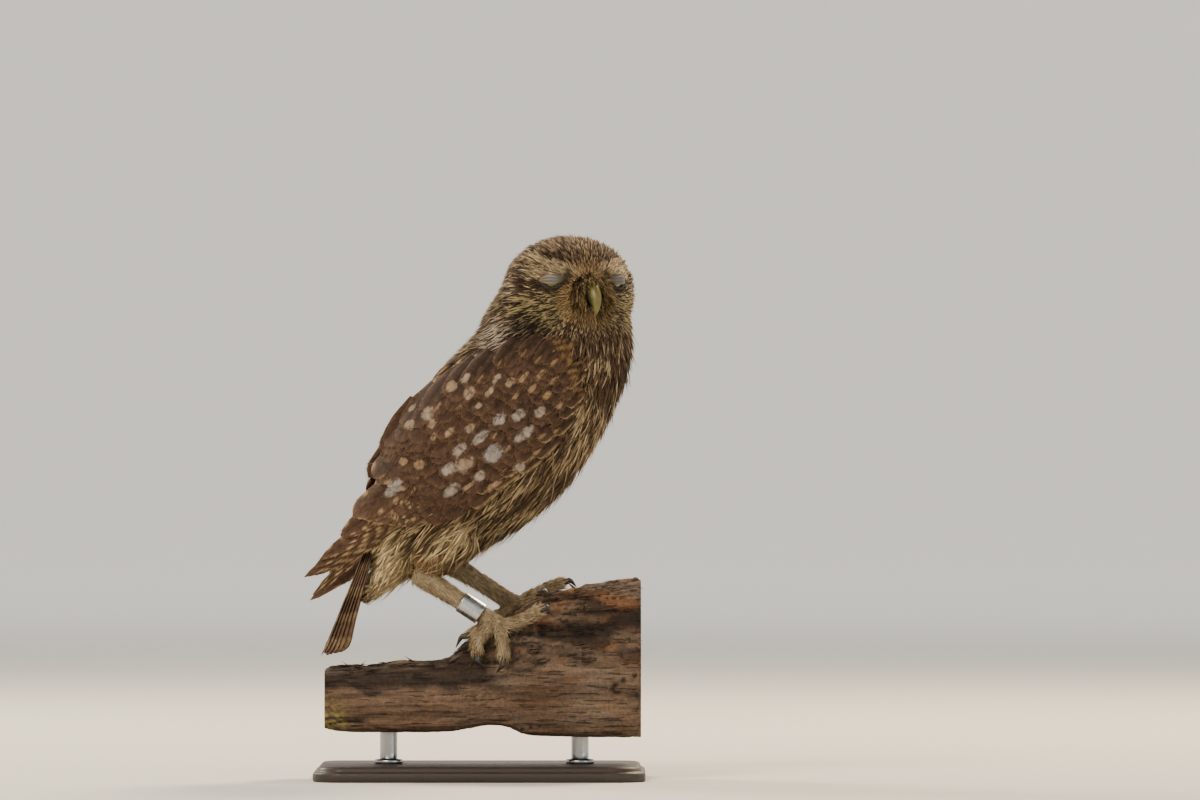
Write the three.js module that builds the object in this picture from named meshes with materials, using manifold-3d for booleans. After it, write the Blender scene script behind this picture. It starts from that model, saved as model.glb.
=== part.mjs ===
// A little owl asleep on the end of a weathered rail, at life size in millimetres, with +Z up.
// The body faces +X and the head is turned towards -Y. The origin is the middle of the stand's underside.
import * as THREE from "three";
import { mergeVertices } from "three/addons/utils/BufferGeometryUtils.js";
import Module from "manifold-3d";

const wasm = await Module();
wasm.setup();

// Driving sizes of the bird.
const gap = 0.3; // clearance between neighbouring pieces
const headAt = { x: 41, y: -2, z: 225 };
const headTurn = 23; // degrees that the face points to +X of straight -Y
const headSize = { front: 25, back: 28, side: 31, up: 25, down: 26 };
const eyeAt = { forward: 12.6, side: 12.9, up: 4.2 };
const eyeRadius = 7.6;
const lidThick = 0.9;
const tailLength = 75;
const tailSpread = 8; // degrees from the middle feather to the outermost
const tailArch = 1; // how far the outermost feather drops below the middle one
const shankRadius = 4.2;
const ring = { inner: 4.65, outer: 5.15, tall: 10.5 };

// Driving sizes of the mount.
const railEnds = { left: -71, right: 74 };
const railFace = 21.5; // half thickness of the rail, front to back
const base = { long: 152, wide: 96, thick: 7, corner: 14 };
const rod = { radius: 4, sunk: 8, at: [-42, 46] };

// The body's form: x and z of its middle, half depth and half width, from the rump to the head.
const torsoForm = [
  [-54, 105, 5, 6],
  [-46, 109, 14, 16],
  [-33, 117.5, 25.5, 27],
  [-20, 128, 32, 33],
  [-6, 143, 38, 36],
  [8, 158, 40.5, 37.5],
  [20, 173, 39.5, 36.5],
  [31, 188, 37, 33.5],
  [36, 204, 36, 31],
  [38, 219, 31, 28],
  [41, 232, 21, 22],
];
// The folded wing lies on this form, which runs on past the rump to the wing tips.
const wingForm = [
  [-88, 89, 3, 7],
  [-72, 100, 9, 9.5],
  [-56, 107.5, 19, 14.5],
  [-40, 115, 29, 24],
  [-22, 126, 35.5, 33],
  [-6, 142.5, 39.5, 37.5],
  [8, 158, 42, 39],
  [20, 173, 41, 38],
  [31, 188, 38.5, 35],
  [38, 204, 34, 31],
];
const ventForm = [
  [-24, 112, 13, 15],
  [-36, 103, 12, 15],
  [-45, 94, 9, 12.5],
  [-53, 85, 5, 9],
  [-58.5, 79, 1.6, 4],
];

const v3 = (x, y, z) => new THREE.Vector3(x, y, z);
const { lerp, degToRad, clamp } = THREE.MathUtils;

// A smooth row of numbers through the given rows, for t from 0 to 1.
function through(rows, t) {
  const s = clamp(t, 0, 1) * (rows.length - 1);
  const i = Math.min(Math.floor(s), rows.length - 2);
  const f = s - i;
  const row = (k) => rows[clamp(k, 0, rows.length - 1)];
  return rows[i].map((b, c) => {
    const a = row(i - 1)[c];
    const d = row(i + 1)[c];
    const e = row(i + 2)[c];
    const bend = 2 * a - 5 * b + 4 * d - e + (3 * b - a - 3 * d + e) * f;
    return b + 0.5 * f * (d - a + f * bend);
  });
}

// A triangle mesh as a solid, with its faces turned out.
function solid(points, faces) {
  const make = (triangles) => {
    const raw = new THREE.BufferGeometry().setFromPoints(points).setIndex(triangles.flat());
    const merged = mergeVertices(raw, 1e-4);
    const mesh = { numProp: 3, vertProperties: merged.attributes.position.array };
    return new wasm.Manifold(new wasm.Mesh({ ...mesh, triVerts: new Uint32Array(merged.index.array) }));
  };
  const made = make(faces);
  return made.volume() > 0 ? made : make(faces.map(([a, b, c]) => [a, c, b]));
}

// A solid from a three.js geometry of closed shape.
function solidOf(geometry) {
  geometry.deleteAttribute("normal");
  geometry.deleteAttribute("uv");
  const merged = mergeVertices(geometry, 1e-4);
  const at = merged.attributes.position;
  const points = Array.from({ length: at.count }, (_, i) => new THREE.Vector3().fromBufferAttribute(at, i));
  const faces = [];
  for (let i = 0; i < merged.index.count; i += 3) {
    faces.push([0, 1, 2].map((k) => merged.index.getX(i + k)));
  }
  return solid(points, faces);
}

// A closed skin over rings of equal count, with a point at each end.
function loft(rings, start, end) {
  const n = rings[0].length;
  const faces = [];
  for (let j = 0; j < n; j++) {
    const k = (j + 1) % n;
    faces.push([0, 1 + k, 1 + j]);
    for (let i = 0; i + 1 < rings.length; i++) {
      const a = 1 + i * n;
      faces.push([a + j, a + k, a + n + k], [a + j, a + n + k, a + n + j]);
    }
    const last = 1 + (rings.length - 1) * n;
    faces.push([last + j, last + k, last + n]);
  }
  return solid([start, ...rings.flat(), end], faces);
}

// A thin closed piece between two grids of points, split alike on both faces.
function slab(top, bottom) {
  const rows = top.length;
  const cols = top[0].length;
  const under = rows * cols;
  const faces = [];
  const at = (i, j) => i * cols + j;
  for (let i = 0; i + 1 < rows; i++)
    for (let j = 0; j + 1 < cols; j++) {
      const [a, b, c, d] = [at(i, j), at(i, j + 1), at(i + 1, j + 1), at(i + 1, j)];
      faces.push([a, b, c], [a, c, d]);
      faces.push([under + a, under + c, under + b], [under + a, under + d, under + c]);
    }
  const rim = [];
  for (let j = 0; j + 1 < cols; j++) {
    rim.push([at(0, j), at(0, j + 1)], [at(rows - 1, j + 1), at(rows - 1, j)]);
  }
  for (let i = 0; i + 1 < rows; i++) {
    rim.push([at(i, cols - 1), at(i + 1, cols - 1)], [at(i + 1, 0), at(i, 0)]);
  }
  rim.forEach(([a, b]) => faces.push([a, under + a, under + b], [a, under + b, b]));
  return solid([...top.flat(), ...bottom.flat()], faces);
}

// A round limb through points {at, r}, grown by grow on every side.
function limb(path, sides, steps, grow = 0) {
  const curve = new THREE.CatmullRomCurve3(path.map((p) => p.at));
  const radii = path.map((p) => [p.r]);
  const frames = curve.computeFrenetFrames(steps);
  const rings = [];
  for (let i = 0; i <= steps; i++) {
    const r = through(radii, i / steps)[0] + grow;
    const middle = curve.getPoint(i / steps);
    const ringAt = (j) => {
      const turn = (2 * Math.PI * j) / sides;
      return middle
        .clone()
        .addScaledVector(frames.normals[i], r * Math.cos(turn))
        .addScaledVector(frames.binormals[i], r * Math.sin(turn));
    };
    rings.push(Array.from({ length: sides }, (_, j) => ringAt(j)));
  }
  const round = 0.45; // how far an end bulges, as a share of its radius
  const [first, last] = [path[0], path[path.length - 1]];
  const out = (tangent, p) => tangent.clone().multiplyScalar(round * (p.r + grow) + grow * round);
  const start = first.at.clone().sub(out(frames.tangents[0], first));
  const end = last.at.clone().add(out(frames.tangents[steps], last));
  return loft(rings, start, end);
}

// Middle, tangent and back-pointing normal of a body form at t.
function formAt(form, t) {
  const [x, z, deep, wide] = through(form, t);
  const [ax, az] = through(form, t - 0.01);
  const [bx, bz] = through(form, t + 0.01);
  const along = v3(bx - ax, 0, bz - az).normalize();
  return { middle: v3(x, 0, z), along, back: v3(-along.z, 0, along.x), deep, wide };
}

// The closed solid of a body form.
function formSolid(form, rings, sides, grow = 0) {
  const ringAt = (t) => {
    const { middle, back, deep, wide } = formAt(form, t);
    return Array.from({ length: sides }, (_, j) => {
      const turn = (2 * Math.PI * j) / sides;
      return middle
        .clone()
        .addScaledVector(back, (deep + grow) * Math.cos(turn))
        .add(v3(0, (wide + grow) * Math.sin(turn), 0));
    });
  };
  const ends = [formAt(form, 0), formAt(form, 1)];
  const start = ends[0].middle.clone().addScaledVector(ends[0].along, -ends[0].deep * 0.5 - grow);
  const end = ends[1].middle.clone().addScaledVector(ends[1].along, ends[1].deep * 0.5 + grow);
  const steps = Array.from({ length: rings + 1 }, (_, i) => ringAt(i / rings));
  return loft(steps, start, end);
}

// The head has its own frame: forward from the bill, side to the bird's left, and up.
const turn = degToRad(headTurn);
const faceForward = v3(Math.sin(turn), -Math.cos(turn), 0);
const faceSide = v3(Math.cos(turn), Math.sin(turn), 0);
function onHead(forward, side, up) {
  return v3(headAt.x, headAt.y, headAt.z + up)
    .addScaledVector(faceForward, forward)
    .addScaledVector(faceSide, side);
}

// Swellings and hollows of the face: bearing, height and spread in degrees, depth in millimetres.
const faceRelief = [
  { bearing: 43, height: 10, spread: 15, raise: -4.4 }, // the eye's hollow
  { bearing: 30, height: 36, spread: 13, raise: 1.8 }, // brow
  { bearing: 66, height: 22, spread: 14, raise: 1.2 }, // outer brow
  { bearing: 56, height: -22, spread: 20, raise: 1.8 }, // cheek
  { bearing: 14, height: -34, spread: 15, raise: 1.4 }, // chin
  { bearing: 11, height: 8, spread: 9, raise: 1.5 }, // bristles beside the bill
];
function headRadius(dir) {
  const { front, back, side, up, down } = headSize;
  const deep = dir.x > 0 ? front : back;
  const tall = dir.z > 0 ? up : down;
  let r = 1 / Math.hypot(dir.x / deep, dir.y / side, dir.z / tall);
  for (const form of faceRelief)
    for (const hand of [-1, 1]) {
      const [b, h] = [degToRad(form.bearing) * hand, degToRad(form.height)];
      const peak = v3(Math.cos(h) * Math.cos(b), Math.cos(h) * Math.sin(b), Math.sin(h));
      const away = dir.angleTo(peak) / degToRad(form.spread);
      r += form.raise * Math.exp(-0.5 * away * away);
    }
  return r;
}
function headForm(around, tall, grow = 0) {
  const ball = new THREE.SphereGeometry(1, around, tall);
  const at = ball.attributes.position;
  for (let i = 0; i < at.count; i++) {
    const dir = v3(-at.getZ(i), at.getX(i), at.getY(i)).normalize();
    const p = dir.clone().multiplyScalar(headRadius(dir) + grow);
    const placed = onHead(p.x, p.y, p.z);
    at.setXYZ(i, placed.x, placed.y, placed.z);
  }
  return solidOf(ball);
}

// The bill's upper half, from its root in the face to the hooked tip: forward, up, half width, half height.
const billForm = [
  [17, 0.5, 5.6, 6.2],
  [24, 0, 5.2, 5.6],
  [28.4, -2, 4.3, 4.6],
  [31.2, -5.4, 3.1, 3.4],
  [31.8, -9, 1.7, 1.9],
  [30.6, -12, 0.4, 0.5],
];
const lowerBillForm = [
  [17, -6.2, 4.4, 2.6],
  [23, -7.4, 3.8, 2.4],
  [27.4, -9, 2.2, 1.5],
  [28.8, -9.8, 0.7, 0.6],
];
function billSolid(form, grow = 0) {
  const sides = 10;
  const steps = 7;
  const at = (t) => through(form, t);
  const rings = Array.from({ length: steps + 1 }, (_, i) => {
    const [f, u, wide, tall] = at(i / steps);
    const [f0, u0] = at(i / steps - 0.02);
    const [f1, u1] = at(i / steps + 0.02);
    const long = Math.hypot(f1 - f0, u1 - u0);
    const [nf, nu] = [-(u1 - u0) / long, (f1 - f0) / long];
    return Array.from({ length: sides }, (_, j) => {
      const a = (2 * Math.PI * j) / sides;
      const rise = (tall + grow) * Math.cos(a);
      return onHead(f + nf * rise, (wide + grow) * Math.sin(a), u + nu * rise);
    });
  });
  const [rootF, rootU] = form[0];
  const [tipF, tipU] = form[form.length - 1];
  return loft(rings, onHead(rootF - 1 - grow, 0, rootU), onHead(tipF - 0.3, 0, tipU - 0.4 - grow));
}
// The line of the mouth: a fine groove from the bill's corner back into the cheek.
function gape(hand) {
  const path = [
    { at: onHead(28.5, hand * 3, -7.4), r: 0.35 },
    { at: onHead(27, hand * 6.5, -7.2), r: 0.45 },
    { at: onHead(24.6, hand * 10.5, -6.2), r: 0.4 },
    { at: onHead(22.6, hand * 13.5, -4.6), r: 0.25 },
  ];
  return limb(path, 6, 5);
}
function nostril(hand) {
  const [f, u] = [25.5, 1.6];
  const bore = new THREE.CylinderGeometry(0.8, 0.8, 4, 10);
  const at = onHead(f, hand * 5.2, u);
  bore.rotateZ(degToRad(headTurn) - Math.PI / 2);
  bore.translate(at.x, at.y, at.z);
  return solidOf(bore);
}

// Each eye is closed but for a slit: a ball, and two lids that lie round it.
function eyeCentre(hand) {
  return onHead(eyeAt.forward, hand * eyeAt.side, eyeAt.up);
}
function ball(centre, radius, around = 14, tall = 8) {
  const g = new THREE.SphereGeometry(radius, around, tall);
  g.rotateX(Math.PI / 2);
  g.translate(centre.x, centre.y, centre.z);
  return solidOf(g);
}
const lidRadius = eyeRadius + gap + lidThick;
function lids(hand) {
  const centre = eyeCentre(hand);
  const look = faceForward.clone().addScaledVector(faceSide, hand * 0.62).normalize();
  const shell = ball(centre, lidRadius).subtract(ball(centre, eyeRadius + gap));
  const fromBack = look.dot(centre) - 1.5;
  const front = shell.trimByPlane(look.toArray(), fromBack);
  const slit = { drop: 2.6, open: 1.1, tip: -0.16 };
  const lidUp = v3(0, 0, 1).addScaledVector(look, slit.tip).normalize();
  const edge = lidUp.dot(centre) - slit.drop;
  const upper = front.trimByPlane(lidUp.toArray(), edge);
  const lower = front.trimByPlane(lidUp.clone().negate().toArray(), -(edge - slit.open));
  return { upper, lower };
}

// The wing is laid out on a plane seen from the side: along from the wrist to the tip, and up to the back.
const wrist = v3(47.4, 0, 176.6);
const wingAlong = v3(-0.84, 0, -0.5426);
const wingUp = v3(-0.5426, 0, 0.84);
const wingSamples = 160;
const wingLine = Array.from({ length: wingSamples + 1 }, (_, i) => formAt(wingForm, i / wingSamples));
function sideWidth(p) {
  let near = wingLine[0];
  for (const s of wingLine) if (s.middle.distanceToSquared(p) < near.middle.distanceToSquared(p)) near = s;
  const off = p.clone().sub(near.middle).dot(near.back);
  const reach = off > 0 ? near.deep : Math.max(near.deep, 22);
  const share = clamp(off / reach, -0.95, 0.975);
  return near.wide * Math.sqrt(1 - share * share);
}
// A point on the left wing's outer surface, raised by lift.
function onWing(along, up, lift) {
  const flat = v3(wrist.x, 0, wrist.z).addScaledVector(wingAlong, along).addScaledVector(wingUp, up);
  const step = 2.5;
  const y = sideWidth(flat);
  const beside = (x, z) => sideWidth(flat.clone().add(v3(x, 0, z)));
  const dx = (beside(step, 0) - beside(-step, 0)) / (2 * step);
  const dz = (beside(0, step) - beside(0, -step)) / (2 * step);
  const slope = 1.6; // the steepest lean of the surface that a feather follows
  const normal = v3(clamp(-dx, -slope, slope), 1, clamp(-dz, -slope, slope)).normalize();
  return v3(flat.x, y, flat.z).addScaledVector(normal, lift);
}

// Outlines of vanes: places from root to tip, each with its share of the widest.
const roundEnd = [[0, 0.6], [0.42, 0.96], [0.78, 1], [0.93, 0.78], [1, 0.38]];
const tailEnd = [[0, 0.7], [0.5, 0.95], [0.94, 1], [1, 0.5]];
const shortRound = [[0, 0.7], [0.5, 1], [0.86, 0.86], [1, 0.42]];
const longPoint = [[0, 0.6], [0.35, 1], [0.66, 0.95], [0.87, 0.66], [1, 0.22]];
// One feather: root and tip as [along, up], its lifts at both, and the tilt that tucks an edge under.
function vane(place, { root, tip, wide, lift, tilt = 0.7, outline = roundEnd, thick = 0.7 }) {
  const run = [tip[0] - root[0], tip[1] - root[1]];
  const long = Math.hypot(...run);
  const side = [-run[1] / long, run[0] / long];
  const top = [];
  const bottom = [];
  for (const [t, share] of outline) {
    const mid = [root[0] + run[0] * t, root[1] + run[1] * t];
    const half = 0.5 * wide * share;
    const up = lerp(lift[0], lift[1], t);
    const deep = lerp(thick, 0.5, t);
    const edge = (hand, drop) =>
      place(
        mid[0] + side[0] * half * hand,
        mid[1] + side[1] * half * hand,
        up - tilt * share * hand - drop,
      );
    top.push([edge(-1, 0), edge(1, 0)]);
    bottom.push([edge(-1, deep), edge(1, deep)]);
  }
  return slab(top, bottom);
}

// Tiers of the folded wing, each from its first to its last feather. Later tiers lie over earlier ones.
const tiers = [
  // primaries, stacked from the outermost, which lies lowest
  {
    count: 7, root: [[70, -6], [74, 6]], tip: [[134, -3.5], [130, 5.5]], longest: [20, 0],
    wide: [7, 11], lift: [[-3.4, -3.2], [0, 1]], outline: longPoint, tilt: 0, thick: 0.5,
  },
  // secondaries, from the outermost
  {
    count: 5, root: [[58, -7], [64, 14]], tip: [[102, -4], [116, 10]], longest: [3, 0],
    wide: [10.5, 12.5], lift: [[-1, 1.2], [-1, 1.8]], outline: roundEnd, tilt: 1.1, thick: 0.6,
  },
  // tertials
  {
    count: 3, root: [[54, 15], [62, 28]], tip: [[97, 12], [101, 20]], longest: [0, 0],
    wide: [10, 11], lift: [[-1, 2.6], [-1, 2.6]], outline: roundEnd, tilt: 1.1, thick: 0.6,
  },
  // greater coverts
  {
    count: 5, root: [[34, -7], [50, 18]], tip: [[62, -8.5], [76, 14]], longest: [4, 0],
    wide: [10, 11], lift: [[-1, 2.4], [-1, 2.8]], outline: shortRound, tilt: 1, thick: 0.6,
  },
  // median coverts
  {
    count: 5, root: [[22, -5], [38, 21]], tip: [[40, -8], [54, 16]], longest: [2, 0],
    wide: [9.5, 10.5], lift: [[-1, 2.6], [-1, 2.8]], outline: shortRound, tilt: 0.9, thick: 0.6,
  },
  // lesser coverts
  {
    count: 5, root: [[8, -2], [20, 26]], tip: [[22, -5], [37, 20]], longest: [1, 0],
    wide: [9.5, 10], lift: [[-1, 2.4], [-1, 2.6]], outline: shortRound, tilt: 0.8, thick: 0.6,
  },
  // scapulars, in two rows along the back
  {
    count: 4, root: [[56, 28], [68, 40]], tip: [[80, 16], [92, 27]], longest: [0, 0],
    wide: [11, 11], lift: [[-1, 3], [-1, 2.2]], outline: shortRound, tilt: 1, thick: 0.6,
  },
  {
    count: 5, root: [[28, 27], [52, 42]], tip: [[52, 18], [76, 36]], longest: [2, 0],
    wide: [11.5, 11], lift: [[-1, 3.2], [-1, 2.4]], outline: shortRound, tilt: 0.9, thick: 0.6,
  },
];
function tierVanes(tier, place) {
  const made = [];
  for (let i = 0; i < tier.count; i++) {
    const t = i / (tier.count - 1);
    const mix = ([a, b]) => a.map((n, k) => lerp(n, b[k], t));
    const tip = mix(tier.tip);
    const reach = Math.sin(Math.PI * Math.min(1, t + 0.25));
    tip[0] += tier.longest[0] * reach;
    tip[1] += tier.longest[1] * reach;
    const [rootLift, tipLift] = mix(tier.lift);
    const wide = lerp(...tier.wide, t);
    made.push(vane(place, { ...tier, root: mix(tier.root), tip, wide, lift: [rootLift, tipLift] }));
  }
  return made;
}
// The wing's own plate under the feathers: along, lowest and highest.
const wingPlate = [
  [0.5, 0, 8],
  [6, -5, 24],
  [18, -8.5, 37],
  [36, -10.5, 44.5],
  [56, -9.5, 44.5],
  [72, -7, 38],
  [88, -3, 25],
];
function wingCore(place) {
  const rows = 6;
  const cols = 6;
  const grid = (lift) =>
    Array.from({ length: rows + 1 }, (_, i) => {
      const [along, low, high] = through(wingPlate, i / rows);
      return Array.from({ length: cols + 1 }, (_, j) => {
        const bulge = Math.sin((Math.PI * j) / cols) ** 0.5;
        return place(along, lerp(low, high, j / cols), lift > 0 ? lift * bulge : lift);
      });
    });
  return slab(grid(0.9), grid(-6));
}
const shoulder = v3(33, 0, 182);
const farDroop = 3.5; // degrees that the far wing hangs lower than the near one
const farSlide = 5; // how much further back it lies
function wing(hand) {
  const droop = hand > 0 ? degToRad(-farDroop) : 0;
  const place = (along, up, lift) => {
    const p = onWing(along, up, lift).sub(shoulder).addScaledVector(wingAlong, hand > 0 ? farSlide : 0);
    p.applyAxisAngle(v3(0, 1, 0), droop).add(shoulder);
    return v3(p.x, hand * p.y, p.z);
  };
  const feathers = tiers.flatMap((tier) => tierVanes(tier, place));
  return wasm.Manifold.union([wingCore(place), ...feathers]);
}

// The tail is a closed fan, arched like a low roof.
const tailRoot = v3(-44.6, 0, 126);
const tailWay = v3(-0.38, 0, -0.925);
const tailUnder = v3(0.925, 0, -0.38);
function onTail(along, across, drop) {
  const spot = tailRoot.clone().addScaledVector(tailWay, along);
  return spot.addScaledVector(tailUnder, drop).add(v3(0, across, 0));
}
function tail() {
  const count = 12;
  const feathers = [];
  for (let i = 0; i < count; i++) {
    const share = (2 * i) / (count - 1) - 1;
    const fan = degToRad(tailSpread * share);
    const place = (along, across, lift) => {
      const arch = tailArch * Math.abs(share) ** 1.5 * clamp(along / tailLength, 0.3, 1);
      return onTail(along, across, arch - lift);
    };
    const root = [6, share * 5];
    const long = tailLength - 6 - 2.5 * share * share;
    const tip = [6 + long * Math.cos(fan), share * 5 + long * Math.sin(fan)];
    const under = -0.4 * (Math.abs(share) * (count - 1) - 1); // each lies under its inner neighbour
    const form = { root, tip, wide: 12, lift: [under, under], tilt: 0, thick: 0.5, outline: tailEnd };
    feathers.push(vane(place, form));
  }
  return wasm.Manifold.union([tailPlug(), ...feathers]);
}
function tailPlug(grow = 0) {
  const path = [
    { at: onTail(10, 0, 2), r: 5.5 },
    { at: onTail(26, 0, 2), r: 5.5 },
    { at: onTail(38, 0, 2), r: 4.2 },
    { at: onTail(46, 0, 2), r: 1.5 },
  ];
  return limb(path, 8, 5, grow);
}

// The space that the tail's root takes between the wings.
function tailRoom() {
  const ringAt = (along, half, high, low) =>
    [[-half, low], [half, low], [half, high], [-half, high]].map(
      ([across, drop]) => onTail(along, across, drop),
    );
  const stations = [[0, 12], [30, 15], [50, 18], [84, 22]];
  const rings = stations.map(([along, half]) => ringAt(along, half, -0.6, 6.4));
  return loft(rings, onTail(-1, 0, 3), onTail(85, 0, 3));
}

// Legs: heel and ankle of each side, then the toes as paths from the ball of the foot.
const legs = {
  right: {
    hand: -1,
    hip: [-10, -16, 114],
    heel: [-27, -16, 94],
    ankle: [3, -17, 74.5],
    ball: [7.5, -18, 71.5],
    toes: {
      inner: {
        path: [[14, -22.3, 71.6], [20.7, -23.6, 74], [27, -23.4, 77.8]],
        claw: [[31, -23.5, 79.5], [33.4, -23.3, 75.5]],
      },
      middle: {
        path: [[9.5, -23.2, 68], [10.8, -25, 62], [11, -24.8, 57]],
        claw: [[10.4, -25.4, 52.8], [7.8, -23.4, 49.6]],
      },
      outer: {
        path: [[2.5, -23, 68], [-0.8, -25, 63.5], [-1, -24.9, 59]],
        claw: [[-0.6, -25.6, 54.8], [2.6, -23.6, 51.4]],
      },
      hind: { path: [[1, -15.5, 69], [-3.6, -14, 67]], claw: [[-8.5, -13, 65.4], [-11, -12.5, 60.5]] },
    },
  },
  left: {
    hand: 1,
    hip: [-4, 15, 118],
    heel: [-15.5, 13, 100],
    ankle: [13.5, 12.5, 81.5],
    ball: [17, 12, 80],
    toes: {
      inner: { path: [[20.5, 7.5, 82.2], [24.5, 3.5, 84.6]], claw: [[29.5, 0.5, 86.6], [32.5, -1.2, 84]] },
      middle: {
        path: [[25, 12.5, 84.3], [31.5, 12.5, 87.6], [37, 12.2, 89.8]],
        claw: [[41.6, 12, 91], [44.4, 11.8, 88]],
      },
      outer: {
        path: [[16, 18.5, 80.2], [15.5, 22.9, 77], [15, 24.8, 71]],
        claw: [[14.8, 25.5, 66.6], [14.2, 23.2, 63]],
      },
      hind: { path: [[11, 12.5, 76.5], [5.5, 12.5, 73]], claw: [[1, 12.5, 71.4], [-2, 12.5, 67]] },
    },
  },
};
const toeRadius = { root: 3.4, end: 2.9 };
const clawRadius = 1.45;
const at = (p) => v3(...p);
function thigh(leg, grow = 0) {
  const path = [
    { at: at(leg.hip), r: 14 },
    { at: at(leg.hip).lerp(at(leg.heel), 0.55), r: 11.5 },
    { at: at(leg.heel), r: 5.6 },
  ];
  return limb(path, 12, 5, grow);
}
function shank(leg, grow = 0) {
  const path = [0, 0.35, 0.7, 1].map((t, i) => ({
    at: at(leg.heel).lerp(at(leg.ankle), t),
    r: [5.2, shankRadius + 0.3, shankRadius, shankRadius][i],
  }));
  return limb(path, 10, 4, grow);
}
function toe(leg, name, grow = 0) {
  const points = [leg.ball, ...leg.toes[name].path];
  const last = points.length - 1;
  const path = points.map((p, i) => ({ at: at(p), r: lerp(toeRadius.root, toeRadius.end, i / last) }));
  return limb(path, 7, 4, grow);
}
function foot(leg, grow = 0) {
  const instep = [
    { at: at(leg.ankle), r: shankRadius },
    { at: at(leg.ball), r: 4.3 },
  ];
  const toes = Object.keys(leg.toes).map((name) => toe(leg, name, grow));
  return wasm.Manifold.union([limb(instep, 10, 2, grow), ...toes]);
}
function claw(leg, name, grow = 0) {
  const { path, claw: hook } = leg.toes[name];
  const end = at(path[path.length - 1]);
  const points = [
    { at: end, r: clawRadius },
    { at: end.clone().lerp(at(hook[0]), 0.6), r: clawRadius * 0.95 },
    { at: at(hook[0]), r: clawRadius * 0.72 },
    { at: at(hook[1]), r: 0.28 },
  ];
  return limb(points, 6, 4, grow);
}
function legRing(leg) {
  const half = ring.tall / 2;
  const profile = [
    [ring.inner, -half],
    [ring.outer, -half],
    [ring.outer, half],
    [ring.inner, half],
    [ring.inner, -half],
  ].map(([r, h]) => new THREE.Vector2(r, h));
  const band = new THREE.LatheGeometry(profile, 24);
  const way = at(leg.ankle).sub(at(leg.heel)).normalize();
  band.applyQuaternion(new THREE.Quaternion().setFromUnitVectors(v3(0, 1, 0), way));
  const middle = at(leg.ankle).addScaledVector(way, -8.2);
  band.translate(middle.x, middle.y, middle.z);
  return solidOf(band);
}

// The rail: x, height of its top and of its underside, from the sawn end to the cut.
const railForm = [
  [railEnds.left, 50.5, 23.5],
  [-60, 51, 22],
  [-36, 52.6, 22],
  [-18, 54.6, 22],
  [-11, 57.5, 22.5],
  [-5, 62.5, 23.5],
  [4, 67.2, 25],
  [13, 73.5, 24],
  [20, 79, 21],
  [30, 83.8, 19.8],
  [46, 87.5, 19.5],
  [60, 89.5, 19.3],
  [railEnds.right, 91, 19.3],
];
// The rail's section, walked round from the front face: share across, share up.
const railSection = [
  [-1, 0.12], [-1.02, 0.4], [-0.98, 0.72], [-0.93, 0.94], [-0.7, 1], [-0.3, 0.985], [0.3, 1.01], [0.7, 1],
  [0.94, 0.93], [1, 0.7], [0.97, 0.4], [0.99, 0.1], [0.8, 0.01], [0.3, 0.03], [-0.3, 0], [-0.86, 0.015],
];
function rail() {
  const steps = 20;
  const rings = Array.from({ length: steps + 1 }, (_, i) => {
    const [x, top, under] = through(railForm, i / steps);
    return railSection.map(([across, up], j) => {
      const rough = 0.5 * Math.sin(1.7 * i + 2.3 * j) + 0.4 * Math.sin(0.9 * i * j + j);
      const chew = i > 0 && i < steps ? rough : 0;
      const y = across * railFace + (Math.abs(across) > 0.9 ? 0.6 * chew : 0);
      return v3(x, y, lerp(under, top, up) + (Math.abs(across) < 0.9 ? 0.5 * chew : 0));
    });
  });
  const middle = (ring) => ring.reduce((sum, p) => sum.add(p), v3(0, 0, 0)).divideScalar(ring.length);
  return loft(rings, middle(rings[0]), middle(rings[steps]));
}

// The stand: a flat base and two rods that enter the rail from below.
function standBase() {
  const { long, wide, thick, corner } = base;
  const [x, y] = [long / 2 - corner, wide / 2 - corner];
  const outline = new THREE.Shape();
  outline.absarc(x, y, corner, 0, Math.PI / 2);
  outline.absarc(-x, y, corner, Math.PI / 2, Math.PI);
  outline.absarc(-x, -y, corner, Math.PI, 1.5 * Math.PI);
  outline.absarc(x, -y, corner, 1.5 * Math.PI, 2 * Math.PI);
  const bevel = 1.2;
  const plate = new THREE.ExtrudeGeometry(outline, {
    depth: thick - 2 * bevel,
    bevelThickness: bevel,
    bevelSize: bevel,
    bevelOffset: -bevel,
    bevelSegments: 1,
    curveSegments: 3,
  });
  plate.translate(0, 0, bevel);
  return solidOf(plate);
}
const rodTop = 24 + rod.sunk;
function standRod(x, grow = 0) {
  const low = base.thick + gap - grow;
  const shaft = new THREE.CylinderGeometry(rod.radius + grow, rod.radius + grow, rodTop + grow - low, 20);
  shaft.rotateX(Math.PI / 2);
  shaft.translate(x, 0, (rodTop + grow + low) / 2);
  return solidOf(shaft);
}

// Finishes from the bird and its rail.
const finish = (color, roughness, metalness = 0) =>
  new THREE.MeshStandardMaterial({ color, roughness, metalness });
const plumage = finish(0x6b5540, 0.9);
const breast = finish(0x9a8465, 0.9);
const flight = finish(0x54412f, 0.75);
const legDown = finish(0xa08a68, 0.9);
const lidSkin = finish(0x8d8a84, 0.7);
const iris = finish(0xb9a53a, 0.2);
const billHorn = finish(0x9c9a3c, 0.4);
const clawHorn = finish(0x2c2722, 0.35);
const ringMetal = finish(0xb9bcc0, 0.35, 1);
const wood = finish(0x5a3f28, 0.95);
const standWood = finish(0x2b2622, 0.5);
const rodMetal = finish(0x8f9296, 0.35, 1);

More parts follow.
